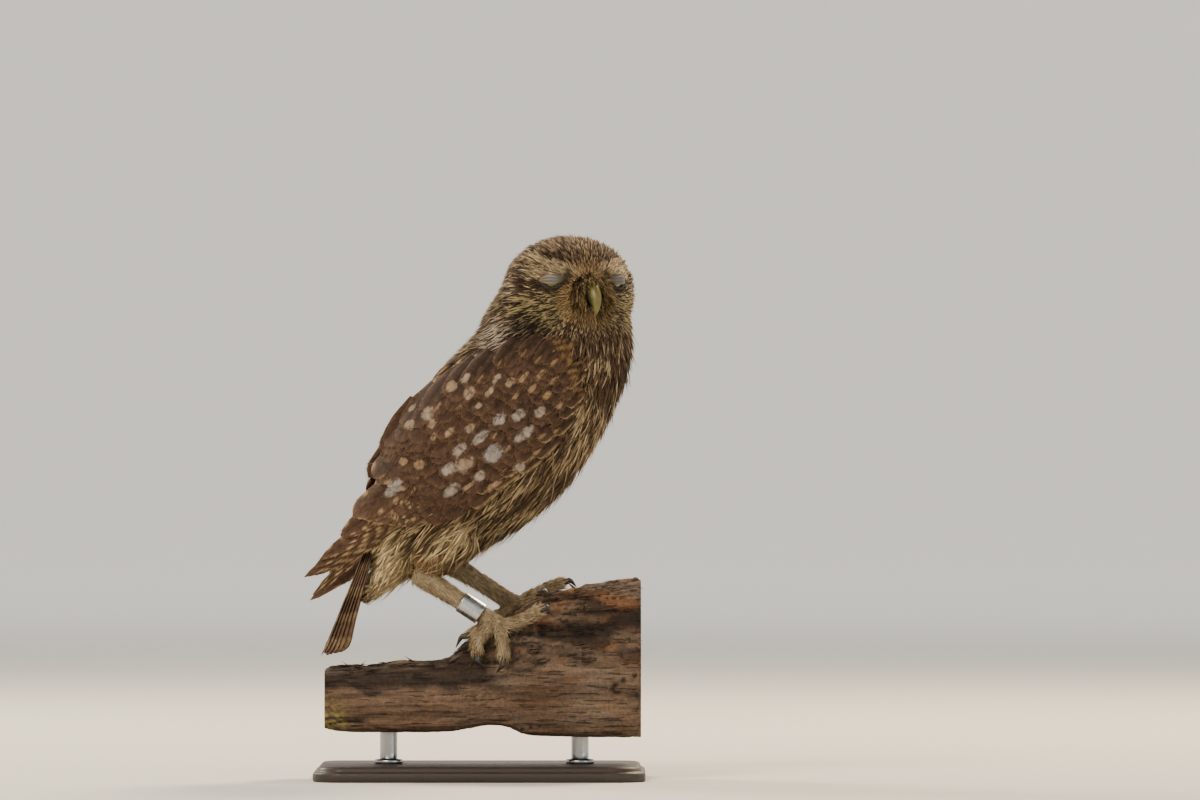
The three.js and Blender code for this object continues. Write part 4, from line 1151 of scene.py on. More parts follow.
def tuftCoat(name, area, spacing, seed, form, length, width, lift, sway=0.28, slotName="plumage"):
    # length, width and lift give one number for each root; every tuft is a closed blade laid along the skin
    roots = spread(area, spacing, seed)
    draw = np.random.default_rng(seed + 10)
    count = len(roots)
    size = byPlace(length, roots) * draw.uniform(0.75, 1.2, count)
    wide = byPlace(width, roots) * draw.uniform(0.8, 1.25, count)
    rise = byPlace(lift, roots) * draw.uniform(0.5, 1.5, count)
    turn = draw.normal(0, sway, count)
    roll = draw.normal(0, 0.25, count)[:, None]
    own = draw.random((count, 3))
    section, widths = tuftForms[form]["section"], tuftForms[form]["widths"]
    rings, sides = len(widths), len(section)
    place, normal = onSkin(roots)
    base = place.copy()
    points, vanes = [], []
    for t, share in zip(np.linspace(0, 1, rings + 1), (*widths, 0)):
        heading = unit(flatten(lieAt(place), normal))
        across = np.cross(normal, heading)
        bent = heading * np.cos(turn)[:, None] + across * np.sin(turn)[:, None]
        spine = place + normal * (-0.35 + (rise + 0.35) * t ** 1.3)[:, None]
        tilted = np.cross(normal, bent) * np.cos(roll) + normal * np.sin(roll)
        half = 0.5 * wide * share
        for a, b in section if share else [(0, 0)]:
            points.append(spine + tilted * (half * a)[:, None] + normal * (half * b)[:, None])
            vanes.append(np.stack([np.full(count, t), np.full(count, a), own[:, 0] * 40], 1))
        if share:
            place, normal = onSkin(place + bent * (size / rings)[:, None])
            turn = turn * 0.8
    addStrands(name, points, vanes, base, own, strandFaces(rings, sides)[:, ::-1], slotName)


def addStrands(name, points, vanes, base, own, faces, slotName="plumage", toneOf=bodyTone):
    # a piece of many closed strands, from the places and vane values of each point of every strand
    count, size = len(base), len(points)
    mesh = makeMesh(name, np.stack(points, 1).reshape(-1, 3), repeated(faces, count, size))
    each = np.repeat(np.arange(count), size)
    vane = np.stack(vanes, 1).reshape(-1, 3)
    setValues(mesh, vane=vane, tone=toneOf(base[each], vane[:, 0], vane[:, 1], own[each]))
    bakeMap(mesh, base[each], vane)
    makePiece(name, mesh, coatFinish, slotName)
    print(name, count, "strands,", count * len(faces), "triangles")


def bakeMap(mesh, root, vane):  # each strand is a small patch at its root's place on an unwrap of the body
    head = headShare(root) > 0.5
    turn = np.arctan2(root[:, 1], backOff(root)) / fullTurn + 0.5
    d = unit(root - headAt)
    headTurnAt = np.arctan2(d @ faceSide, d @ faceForward) / fullTurn + 0.5
    rise = np.arcsin(np.clip(d[:, 2], -1, 1)) / math.pi + 0.5
    u = np.where(head, headTurnAt, turn)
    v = np.where(head, 0.5 + 0.48 * rise, 0.02 + 0.46 * np.clip((root[:, 2] - 60) / 160, 0, 1))
    u = 0.01 + 0.975 * u + 0.003 * (vane[:, 1] * 0.5 + 0.5)
    bakeLayer(mesh, np.stack([u, v + 0.003 * vane[:, 0]], 1))


def nearLid(points):
    return ease(11.5, 9.5, eyeNear(points))


def headArea(points):
    f, _, h = headFrame(points)
    clear = (f < 26.2 + 2.4 * ease(-6.5, -9, h)) | (distance(points, billMiddle) > 10.5)
    return (headShare(points) > 0.35) * (1 - bareLid(points)) * clear * 1.0


def headSpacing(points):
    return 0.62 + 0.33 * ease(18, 40, distance(points, billRoot)) - 0.12 * nearLid(points)


def headLength(points):
    return (3.6 + 4.4 * ease(10, 42, distance(points, billRoot))) * (1 - 0.42 * nearLid(points))


def headWidth(points):
    return (0.62 + 0.35 * ease(14, 40, distance(points, billRoot))) * (1 - 0.25 * nearLid(points))


def headLift(points):
    return (0.7 + 1.0 * ease(12, 35, distance(points, billRoot))) * (1 - 0.55 * nearLid(points))


def bodyArea(points):
    covered = underWing(points)
    return (headShare(points) <= 0.5) * (1 - covered) * (thighShare(points) < 0.5) * (backShare(points) < 0.6)


def mantleArea(points):
    return (headShare(points) <= 0.6) * (1 - underWing(points)) * (backShare(points) >= 0.55)


def wispArea(points):  # where loose long strands break up the outline
    return (1 - underWing(points)) * (1 - ease(0.2, 0.5, backShare(points))) * (headShare(points) <= 0.7)


def spikeArea(points):
    return (headShare(points) > 0.5) * (eyeNear(points) > 12.5) * (distance(points, billRoot) > 13)


def legArea(points):
    return (thighShare(points) >= 0.5) * 1.0


def bodyLength(points):
    vent = ease(-20, -36, points[:, 0]) * ease(125, 105, points[:, 2])
    return 9 + 9 * ease(205, 150, points[:, 2]) + 5 * vent


def downBody(base, more):  # a number that grows by more down the breast
    return lambda points: base + more * ease(190, 130, points[:, 2])


def times(amount, rule):
    return lambda points: amount * rule(points)


coats = dict(
    head_coat=(headArea, headSpacing, 51, "hair", headLength, headWidth, headLift),
    body_coat=(bodyArea, downBody(1.25, 0.4), 52, "strand", bodyLength, downBody(1.35, 0.5), 2.1, 0.34),
    mantle_coat=(mantleArea, 2.7, 54, "leaf", 12.5, 5.0, 1.5, 0.16),
    wisp_coat=(wispArea, 3.0, 55, "hair", times(1.15, bodyLength), 0.9, 4.0, 0.45),
    spike_coat=(spikeArea, 1.9, 56, "hair", times(1.05, headLength), 0.5, 2.3, 0.4),
    thigh_coat=(legArea, 1.1, 53, "hair", 9.0, 1.1, 1.2, 0.28, "leg_feathers"),
)
for name, coat in coats.items():
    tuftCoat(name, *coat)


# head details: eyes behind their slit, wrinkled lids, bill
lids = tones(
    thick=0.9, blue="49555b", dark="15110e", pale="7b6a50", rim="6f5d48", olive="34301f", crease="261e16",
)
iris = tones(light="625c22", dark="3f3f17", pupil="0a0908", outer="1d1712")
bristles = tones(count=1800, seed=91, root="33271a", dark="3f3420", pale="a78d62")


def addEye(side, hand):
    look, across, high = eyeAxes(hand)
    rings, sides = 26, 40
    turn = around(sides)[:, None]
    circle = across * np.cos(turn) + high * np.sin(turn)
    loops = []
    for a in np.arange(1, rings) * math.pi / rings:
        reach = eyeSpot["radius"] + 0.25 * math.exp(-(a / 0.55) ** 2)
        loops.append(eyeCentre(hand) + reach * (look * math.cos(a) + math.sin(a) * circle))
    mesh = loft(f"eyeball_{side}", loops)
    spots, _ = getPoints(mesh)
    d = unit(spots - eyeCentre(hand))
    angle = np.arccos(np.clip(d @ look, -1, 1))
    turn = np.arctan2(d @ high, d @ across)
    fleck = 0.5 + 0.5 * np.sin(turn * 23 + 3 * np.sin(turn * 7))
    colour = mix(iris["light"], iris["dark"], ease(0.35, 0.9, angle) * 0.6 + 0.3 * fleck)
    colour = mix(iris["pupil"], colour, ease(0.3, 0.36, angle))
    setValues(mesh, tone=mix(colour, iris["outer"], ease(0.85, 1.0, angle)))
    makePiece(mesh.name, mesh, eyeFinish, "eye", f"eye_{side}")


def addLid(side, hand, level):
    look, across, high = eyeAxes(hand)
    upper = level == "upper"
    rows, cols = 36, 72
    centre = eyeCentre(hand)
    inner = eyeSpot["radius"] + eyeSpot["gap"]
    outer = inner + lids["thick"]
    v = np.repeat(np.linspace(0, 1, rows), cols)  # 0 at the slit
    w = np.tile(np.linspace(-1, 1, cols), rows)
    lon = math.radians(72) * w
    x = outer * np.sin(lon)
    edge = -slitDrop(x)
    if not upper:
        edge = edge - 0.12 - slit["open"] * np.clip(1 - (x / slit["half"]) ** 2, 0, 1)
    low = np.arcsin(np.clip(edge / outer, -0.98, 0.98))
    lat = low + (math.radians(68 if upper else -72) - low) * v
    shares = (np.cos(lat) * np.cos(lon), np.cos(lat) * np.sin(lon), np.sin(lat))
    way = sum(axis * share[:, None] for axis, share in zip((look, across, high), shares))
    along, above, _ = slitFrame(centre + way * outer, hand)
    q = above / (slit["bareHigh"] * lensAt(along) + 0.15)  # 0 at the slit, 1 at the lens's upper edge
    ridge = np.sin(q * 21 + 0.7 * np.sin(3.5 * w)) * ease(0.12, 0.25, q)
    fold = 0.1 * ridge + 0.28 * np.exp(-((q - 0.05) / 0.07) ** 2)
    bare = bareLid(centre + way * outer, soft=0.8)
    top = centre + way * (outer + fold * bare - 0.6 * (1 - bare))[:, None]
    points = np.concatenate([top, centre + way * inner])
    mesh = outward(makeMesh(f"lid_{level}_{side}", points, gridFaces(rows, cols)))
    # painted shade: the furrows between the lid's wrinkled folds are darkened
    skinTone = mix(lids["pale"], lids["crease"], 0.45 - 0.45 * ridge)
    skinTone = mix(skinTone, lids["olive"], ease(0.5, 5.5, along))
    # painted highlight: a blue-grey sheen in the middle of the bare lens, partly the skin's own blue-grey,
    # lighter on the folds' tops and darker in their furrows
    sheenPatch = ease(1.0, 0.35, np.hypot((along - 0.6) / 3.9, (q - 0.42) / 0.3))
    skinTone = mix(skinTone, lids["blue"] * (0.85 + 0.25 * ridge)[:, None], 0.85 * sheenPatch)
    skinTone = mix(skinTone, lids["rim"], ease(0.1, 0.03, np.abs(q - 0.07)) * ease(4.5, 1.5, along) * 0.8)
    # painted shade along the bare lens's upper edge, where the feathers meet it
    skinTone = mix(skinTone, lids["crease"], ease(0.86, 1.0, q) * 0.8)
    colour = mix(lids["pale"] * 0.3, skinTone, bare)
    # painted shade along the slit, where the two lids meet; the lower lid is kept mostly dark
    colour = mix(colour, lids["dark"], ease(0.035, 0.01, v) * 0.95)
    if not upper:
        colour = mix(lids["dark"], colour, 0.3 * ease(0.1, 0.3, v))
    setValues(mesh, tone=np.tile(colour, (2, 1)))
    makePiece(mesh.name, mesh, lidFinish, "eyelid", f"eyelid_{level}_{side}")


eyeFinish = simpleMaterial("eye_wet", 0.08, 900.0, 0.1, 0.05, coat=1.0)
lidFinish = simpleMaterial("lid_skin", 0.55, 1500.0, 0.14, 0.5, coat=0.05)
billFinish = simpleMaterial("bill_horn", 0.46, 500.0, 0.25, 0.35, coat=0.05)
clawFinish = simpleMaterial("claw_horn", 0.38, 900.0, 0.2, 0.2, coat=0.12)
for side, hand in hands.items():
    addEye(side, hand)
    for level in ("upper", "lower"):
        addLid(side, hand, level)

bill = tones(  # rows to the tip: forward, up, half width and half height
    upper=[(17, 0, 4.6, 5.4), (24, -0.4, 4.3, 5.0), (28.2, -2.2, 3.7, 4.3), (31.0, -5.5, 2.8, 3.3),
           (31.7, -9, 1.6, 1.9), (30.6, -12, 0.35, 0.45)],
    lower=[(17, -6.2, 3.8, 2.4), (23, -7.4, 3.4, 2.2), (27.2, -9, 2.0, 1.4), (28.4, -9.8, 0.7, 0.6)],
    nostril=(25.3, 1.4), yellow="57501a", green="2e2e0e", dark="1a170c", tip="6b6334", hole="14120c",
)


def billLoft(name, form, keel, flat):  # a half of the bill, with the cosine and sine of each point's turn
    rings, sides = 46, 36
    c, s = np.cos(around(sides)), np.sin(around(sides))
    loops = []
    for t in np.linspace(0, 1, rings):
        f, u, wide, tall = through(form, t)
        ahead = through(form, t + 0.02)[:2] - through(form, t - 0.02)[:2]
        df, du = ahead / np.linalg.norm(ahead)
        across = wide * np.copysign(np.abs(s) ** flat, s)
        rise = tall * c * (1.0 + keel * np.maximum(c, 0) ** 6)
        loops.append([onHead(f - du * r, a, u + df * r) for a, r in zip(across, rise)])
    return loft(name, loops), np.append(np.tile(c, rings), [0, 0]), np.append(np.tile(s, rings), [0, 0])


def addBillTop():
    mesh, high, turned = billLoft("bill_top", bill["upper"], 0.08, 0.9)
    points, normals = getPoints(mesh)
    f, s, h = headFrame(points)
    hole = np.zeros(len(points))
    for hand in hands.values():
        d = np.stack([f - bill["nostril"][0], (h - bill["nostril"][1]) * 1.15, (s - hand * 4.6) * 0.5], 1)
        hole = np.maximum(hole, ease(1.25, 0.35, np.linalg.norm(d, axis=1)))
    swell = ease(23, 26, f) * ease(29, 27, f) * ease(-4, 0, h) * 0.35 * ease(0.3, 0.7, np.abs(turned))
    line = ease(0.5, 0.0, np.abs(f - 28.2 - 0.15 * h)) * 0.12  # the edge of the soft cere
    setPoints(mesh, points + normals * (swell - 0.9 * hole - line)[:, None])
    # partly painted light: over the horn's own yellow-green, the upward-facing ridge is made yellower and the
    # sides greener and darker
    ridge = ease(0.2, 0.85, high)
    colour = mix(bill["green"], bill["yellow"], ridge)
    colour = mix(bill["dark"], colour, ease(23.5, 30.0, f + 3.2 * ridge))
    colour = mix(colour, bill["tip"], ease(-7, -11, h) * 0.6)
    # painted shade: the nostrils are painted near black inside their shallow dents
    colour = mix(colour, bill["hole"], hole)
    # painted shade: the underside of the upper bill is darkened
    setValues(mesh, tone=mix(colour, bill["dark"], 0.55 * ease(-0.15, -0.75, high)))
    makePiece("bill_top", mesh, billFinish, "bill", "bill_upper")


def addBillUnder():
    mesh, _, _ = billLoft("bill_under", bill["lower"], 0.0, 1.0)
    f, _, _ = headFrame(getPoints(mesh)[0])
    setValues(mesh, tone=mix(bill["dark"], bill["green"], ease(22, 28, f) * 0.6))
    makePiece("bill_under", mesh, billFinish, "bill", "bill_lower")


def bristleTone(root, t, s, own):
    tipTone = mix(bristles["dark"], bristles["pale"], ease(0.45, 0.9, own))
    return mix(bristles["root"], tipTone, ease(0.05, 0.7, t)) * (0.7 + 0.5 * own)[:, None]


def addBristles():  # curved bristles that hide the bill's root
    draw = np.random.default_rng(bristles["seed"])
    count = bristles["count"]
    side = draw.choice([-1.0, 1.0], count)
    turn = draw.uniform(-1.45, 1.75, count)  # round the bill, from below to straight above
    reach = draw.uniform(2.7, 8.2, count)
    out = faceSide * (side * np.cos(turn))[:, None] + straightUp * np.sin(turn)[:, None]
    ahead = 25.2 - 0.8 * (reach - 3.3)
    roots, normal = onSkin(onHead(0, 0, -2.5) + out * reach[:, None] + faceForward * ahead[:, None])
    inward = ease(8.4, 5.0, reach)[:, None]
    first = unit(faceForward * 0.8 + out * (0.5 - 0.2 * inward) + draw.normal(0, 0.13, (count, 3)))
    last = out * (0.75 - 0.75 * inward) + faceForward * 0.45 + v3(0, 0, -0.9)
    last = unit(last + draw.normal(0, 0.2, (count, 3)))
    long = draw.uniform(4.0, 8.0, count)[:, None]
    wide = draw.uniform(0.32, 0.6, count)
    points, vanes = [], []
    for t, share in ((0, 1.0), (0.25, 0.9), (0.5, 0.7), (0.78, 0.45)):
        spine = roots - normal * 0.3 + long * (first * t + (last - first) * t * t / 2)
        heading = unit(first * (1 - t) + last * t)
        across = unit(np.cross(heading, out))
        lift = np.cross(across, heading)
        for a, b in ((-0.5, 0), (0, 0.4), (0.5, 0)):
            points.append(spine + across * (wide * share * a)[:, None] + lift * (wide * share * b)[:, None])
            vanes.append(np.stack([np.full(count, t), np.full(count, 2.0 * a), draw.random(count)], 1))
    points.append(roots + long * (first + last) / 2)
    vanes.append(np.tile([1.0, 0.0, 0.0], (count, 1)))
    own = draw.random(count)
    addStrands("nasal_bristles", points, vanes, roots, own, strandFaces(4, 3), toneOf=bristleTone)


addBristles()
addBillTop()
addBillUnder()
print("eyes, lids and bill made")


# legs and feet: scaly bristled skin, claws, and the plain ring
foot = tones(
    toeRoot=3.3, toeEnd=2.7, claw=1.45, voxel=0.55, skin="958267", pad="837256", bristle="b5a382",
    bristleDark="917d5d", horn="2b2520", hornRoot="5a4a36", hornTip="14110f",
)
ringSize = tones(inner=4.65, outer=5.15, tall=10.5, up=8.2, metal="b7b9bb", seam="4c4a47")


def limbRings(path, radii, steps, sides):
    rings = []
    side = None
    turn = around(sides)[:, None]
    for t in np.linspace(0, 1, steps + 1):
        ahead = unit(through(path, t + 0.02) - through(path, t - 0.02))
        if side is None:
            side = unit(np.cross(ahead, v3(0.1, 0.2, 1)))
        side = unit(side - (side @ ahead) * ahead)
        up = np.cross(ahead, side)
        r = through(np.array(radii, float)[:, None], t)[0]
        rings.append(through(path, t) + r * (side * np.cos(turn) + up * np.sin(turn)))
    return rings


def legAxes(leg):  # the way down the shank, and two ways across it
    way = unit(leg["ankle"] - leg["heel"])
    side = unit(np.cross(way, v3(0, 1, 0)))
    return way, side, np.cross(way, side)


def legSkin(leg):
    heel, ankle, ball = leg["heel"], leg["ankle"], leg["ball"]
    down = unit(ankle - heel)
    shank = [heel - down * 3.6, heel - down * 2.6, heel, mix(heel, ankle, 0.35), mix(heel, ankle, 0.7),
             ankle, ball]
    parts = [loft("part", limbRings(shank, [0.8, 3.4, 5.2, 4.4, 4.0, 4.1, 4.3], 26, 20))]
    thick, thin = foot["toeRoot"], foot["toeEnd"]
    swell = [(0, thick), (0.4, thick * 0.92), (0.85, thin * 1.06), (1, thin * 0.7)]
    for path, claw in leg["toes"].values():
        points = [ball, *path, path[-1] + unit(claw[0] - path[-1]) * 1.2]
        parts.append(loft("part", limbRings(points, table(np.linspace(0, 1, len(points)), swell), 14, 16)))
    mesh = remeshed(joined("leg", parts), foot["voxel"], 4)
    points, normals = getPoints(mesh)
    wrinkle = 0.10 * np.sin(points @ down * 3.6 + drift(points, 5, 3)) + 0.12 * drift(points, 1.6, 4)
    setPoints(mesh, points - normals * (0.25 - wrinkle)[:, None])
    colour = mix(foot["skin"], foot["pad"], 0.5 + 0.5 * drift(points, 6, 9))
    setValues(mesh, tone=colour * (0.85 + 0.15 * np.clip(drift(points, 1.5, 2), -1, 1))[:, None])
    return mesh


def readValue(tree, name, kind="FLOAT_VECTOR"):
    return node(tree, "GeometryNodeInputNamedAttribute", {"Name": name}, data_type=kind).outputs["Attribute"]


def storeValue(tree, geometry, name, kind, value, domain="POINT"):
    ins = {"Name": name, "Geometry": geometry, "Value": value}
    made = node(tree, "GeometryNodeStoreNamedAttribute", ins, data_type=kind, domain=domain)
    return made.outputs["Geometry"]


def moved(tree, start, way, amount):  # start + way * amount, on vectors
    return node(tree, "ShaderNodeVectorMath", (way, amount, start), operation="MULTIPLY_ADD").outputs[0]


def randomValue(tree, low, high, seed, kind="FLOAT"):
    made = node(tree, "FunctionNodeRandomValue", {"Seed": seed}, data_type=kind)
    wanted = "VALUE" if kind == "FLOAT" else "VECTOR"
    ends = [s for s in made.inputs if s.type == wanted]
    ends[0].default_value, ends[1].default_value = low, high
    return [s for s in made.outputs if s.type == wanted][0]


def scatterTree(name):
    # thin pointed slivers on a skin
    # its own attributes say how close they stand (cover), which way (lie) and in which colour (tone)
    tree = bpy.data.node_groups.new(name, "GeometryNodeTree")
    addSocket(tree, "Geometry", "Geometry")
    sizes = dict(Density=1.5e6, Length=0.0035, Width=0.0006, Lean=0.3, Loose=0.3)
    for label, start in sizes.items():
        addSocket(tree, label, "Float", start)
    addSocket(tree, "Seed", "Int", 3)
    addSocket(tree, "Finish", "Material")
    addSocket(tree, "Geometry", "Geometry", way="OUTPUT")
    into = tree.nodes.new("NodeGroupInput").outputs
    many = maths(tree, "MULTIPLY", readValue(tree, "cover", "FLOAT"), into["Density"])
    ins = {"Mesh": into["Geometry"], "Density": many, "Seed": into["Seed"]}
    scatter = node(tree, "GeometryNodeDistributePointsOnFaces", ins, distribute_method="RANDOM").outputs
    ins = {"Vertices": 4, "Side Segments": 2, "Radius Top": 0.0, "Radius Bottom": 0.5, "Depth": 1.0}
    cone = node(tree, "GeometryNodeMeshCone", ins).outputs["Mesh"]
    place = node(tree, "GeometryNodeInputPosition").outputs[0]
    blade = storeValue(tree, cone, "local", "FLOAT_VECTOR", place)
    points = storeValue(tree, scatter["Points"], "shade", "FLOAT", randomValue(tree, 0.72, 1.2, 5))
    way = moved(tree, readValue(tree, "lie"), scatter["Normal"], into["Lean"])
    way = moved(tree, way, randomValue(tree, (-1,) * 3, (1,) * 3, 7, "FLOAT_VECTOR"), into["Loose"])
    aim = node(tree, "FunctionNodeAlignRotationToVector", {"Vector": way}, axis="Z").outputs["Rotation"]
    ins = {"Rotation": aim, "Vector": scatter["Normal"]}
    flat = node(tree, "FunctionNodeAlignRotationToVector", ins, axis="X", pivot_axis="Z").outputs["Rotation"]
    longer = maths(tree, "MULTIPLY", randomValue(tree, 0.6, 1.3, 9), into["Length"])
    size = combined(tree, maths(tree, "MULTIPLY", into["Width"], 0.45), into["Width"], longer)
    ins = {"Points": points, "Instance": blade, "Rotation": flat, "Scale": size}
    put = node(tree, "GeometryNodeInstanceOnPoints", ins).outputs["Instances"]
    real = node(tree, "GeometryNodeRealizeInstances", {"Geometry": put}).outputs["Geometry"]
    _, across, up = split(tree, readValue(tree, "local"))
    shade = readValue(tree, "shade", "FLOAT")
    vane = combined(tree, up, across, shade)
    made = storeValue(tree, real, "vane", "FLOAT_VECTOR", vane)
    bright = maths(tree, "MULTIPLY", maths(tree, "MULTIPLY_ADD", up, 0.55, 0.6), shade)
    made = storeValue(tree, made, "tone", "FLOAT_COLOR", scaled(tree, readValue(tree, "tone"), bright))
    patch = moved(tree, readValue(tree, "unwrap"), vane, (0.003,) * 3)
    made = storeValue(tree, made, "OFBake", "FLOAT2", patch, "CORNER")
    coat = node(tree, "GeometryNodeSetMaterial", {"Geometry": made, "Material": into["Finish"]})
    node(tree, "NodeGroupOutput", (coat.outputs["Geometry"],))
    return tree


def scattered(name, ground, finish, slotName, **values):  # slivers on a ground mesh, as a piece of plain mesh
    holder, step = heldWith(ground, "NODES")
    step.node_group = scatterTree(f"{name}_nodes")
    sockets = {s.name: s.identifier for s in step.node_group.interface.items_tree if s.in_out == "INPUT"}
    for key, value in dict(values, Finish=finish).items():
        step[sockets[key]] = value
    made = evaluated(holder)
    for extra in ("local", "shade", "cover", "lie", "unwrap"):
        if extra in made.attributes:
            made.attributes.remove(made.attributes[extra])
    print(name, len(made.polygons), "faces")
    makePiece(name, made, finish, slotName)


def legCover(leg, points, normals):  # bristles stand thick on shank and tops of toes, none under the ring
    way, _, _ = legAxes(leg)
    long = np.linalg.norm(leg["ankle"] - leg["heel"])
    t = (points - leg["heel"]) @ way
    onShank = np.linalg.norm(points - leg["heel"] - np.clip(t, 0, long)[:, None] * way, axis=1) < 6.5
    ringed = (leg["hand"] < 0) & (np.abs(t - (long - 8.2)) < 5.2) & onShank
    cover = 0.35 + 0.65 * ease(-0.5, 0.3, normals[:, 2] - 0.8 * normals[:, 1] * leg["hand"])
    return cover * (1 - ringed)


def legLie(leg, points, normals):
    best = np.full(len(points), 1e9)
    lie = np.zeros_like(points)
    chains = [[leg["heel"], leg["ankle"], leg["ball"]]]
    chains += [[leg["ball"], *path, claw[0]] for path, claw in leg["toes"].values()]
    for chain in chains:
        for a, b in zip(chain, chain[1:]):
            _, away = toLine(points, a, b)
            near = away < best
            best = np.where(near, away, best)
            lie = np.where(near[:, None], unit(b - a), lie)
    return unit(flatten(lie, normals) + v3(0, 0, -0.15))


def legMap(leg, points):  # an unwrap of the leg round its shank
    way, side, front = legAxes(leg)
    d = points - leg["heel"]
    turn = np.arctan2(d @ front, d @ side) / fullTurn + 0.5
    return np.stack([0.01 + 0.97 * turn, np.clip(0.02 + 0.95 * (d @ way) / 75, 0, 0.99), 0 * turn], 1)


def clawMesh(name, path, hook):
    end, (mid, tip) = path[-1], hook
    rows = [end - unit(mid - end) * 1.5, end * 0.4 + mid * 0.6, mid, tip]
    steps, sides = 22, 18
    radii = [foot["claw"] * 1.12, foot["claw"], foot["claw"] * 0.78, 0.12]
    mesh = loft(name, limbRings(rows, radii, steps, sides))
    t = np.append(np.repeat(np.linspace(0, 1, steps + 1), sides), [0, 1])
    colour = mix(foot["hornRoot"], foot["horn"], ease(0.02, 0.3, t))
    setValues(mesh, tone=mix(colour, foot["hornTip"], ease(0.5, 1.0, t)))
    return mesh


def addRing(leg):  # a split band of bright metal, its rims rolled a little, with a fine line where it meets
    way, side, front = legAxes(leg)
    middle = leg["ankle"] - way * ringSize["up"]
    half, inner, outer = ringSize["tall"] / 2, ringSize["inner"], ringSize["outer"]
    rim = [(inner, half), (inner + 0.1, half + 0.08), (outer - 0.1, half + 0.08), (outer, half - 0.06)]
    profile = [(r, -h) for r, h in rim]
    profile += [(outer, -half + 0.3 + (2 * half - 0.6) * k / 8) for k in range(9)] + rim[::-1]
    profile += [(inner, half - 2 * half * k / 4) for k in range(1, 4)]
    sides, count = 96, len(profile)
    points, marks = [], []
    for a in around(sides):
        seam = math.exp(-((a - 3.6) / 0.035) ** 2)
        for r, h in profile:
            r = r - 0.22 * seam * (r > inner + 0.2)
            points.append(middle + r * (side * math.cos(a) + front * math.sin(a)) + way * h)
            marks.append(seam)
    rows = [(j * count, (j + 1) % sides * count) for j in range(sides)]
    faces = [(a + k, b + k, b + (k + 1) % count, a + (k + 1) % count) for a, b in rows for k in range(count)]
    mesh = outward(makeMesh("ring_band", points, faces))
    setValues(mesh, tone=mix(ringSize["metal"], ringSize["seam"], 0.8 * np.array(marks)))
    makePiece("ring_band", mesh, ringFinish, "ring_metal", "leg_ring")


bristleFinish = featherMaterial("bristle_feather", 0.75, 0.2, 8.0, 0.2)
legFinish = simpleMaterial("leg_skin", 0.62, 1200.0, 0.2, 0.5)
ringFinish = simpleMaterial("ring_metal", 0.3, 350.0, 0.12, 0.06, metallic=1.0)
for side, leg in legs.items():
    ground = legSkin(leg)
    spots, ways = getPoints(ground)
    base = ground.copy()
    makePiece(f"leg_{side}", ground, legFinish, "leg_feathers", f"shank_{side}", f"foot_{side}")
    pale = mix(foot["bristle"], foot["bristleDark"], 0.5 + 0.5 * drift(spots, 4, 31))
    setValues(base, cover=legCover(leg, spots, ways), lie=legLie(leg, spots, ways), tone=pale,
              unwrap=legMap(leg, spots))
    scattered(f"leg_bristles_{side}", base, bristleFinish, "leg_feathers", Density=3.2e6, Length=0.0034,
              Width=0.00055, Lean=0.16, Loose=0.22, Seed=5)
    for toe, (path, hook) in leg["toes"].items():
        claw = clawMesh(f"talon_{side}_{toe}", path, hook)
        makePiece(claw.name, claw, clawFinish, "claw", f"claw_{side}_{toe}")
addRing(legs["right"])
print("legs, claws and ring made")


# the rail: split, weathered timber with a step in its top edge
rail = tones(  # form: x, top and underside; section: across and up
    left=-71.0, right=74.0, face=21.5, steps=330, around=176, orange="67462d", brown="503c2c", grey="655648",
    dark="261b14", black="110c09", lichen="7a7439", sawn="86694a", arm="5c4635",
    form=[(-71, 50.5, 23.5), (-60, 51, 22), (-36, 52.6, 22), (-18, 54.6, 22), (-11, 57.5, 22.5),
          (-5, 62.5, 23.5), (4, 67.2, 25), (13, 73.5, 24), (20, 79, 21), (30, 83.8, 19.8), (46, 87.5, 19.5),
          (60, 89.5, 19.3), (74, 91, 19.3)],
    section=[(-1, 0.12), (-1.02, 0.4), (-0.98, 0.72), (-0.93, 0.94), (-0.7, 1), (-0.3, 0.985), (0.3, 1.01),
             (0.7, 1), (0.94, 0.93), (1, 0.7), (0.97, 0.4), (0.99, 0.1), (0.8, 0.01), (0.3, 0.03), (-0.3, 0),
             (-0.86, 0.015)],
)


def railSections():
    x = np.linspace(rail["left"], rail["right"], rail["steps"])
    smooth = np.array([through(rail["form"], t) for t in np.linspace(0, 1, 400)])
    top, under = (np.interp(x, smooth[:, 0], smooth[:, k])[:, None] for k in (1, 2))
    loop = np.array(rail["section"] + rail["section"][:1], float)
    walk = np.concatenate([[0], np.cumsum(np.linalg.norm(np.diff(loop, axis=0) * [1, 1.4], axis=1))])
    s = np.linspace(0, walk[-1], rail["around"], endpoint=False)
    across, up = np.interp(s, walk, loop[:, 0]), np.interp(s, walk, loop[:, 1])
    for _ in range(3):  # rounds the section's corners
        across, up = ((np.roll(row, 1) + 2 * row + np.roll(row, -1)) / 4 for row in (across, up))
    points = np.empty((len(x), len(s), 3))
    points[..., 0] = x[:, None]
    points[..., 1] = across * rail["face"]
    points[..., 2] = under + (top - under) * up
    return points


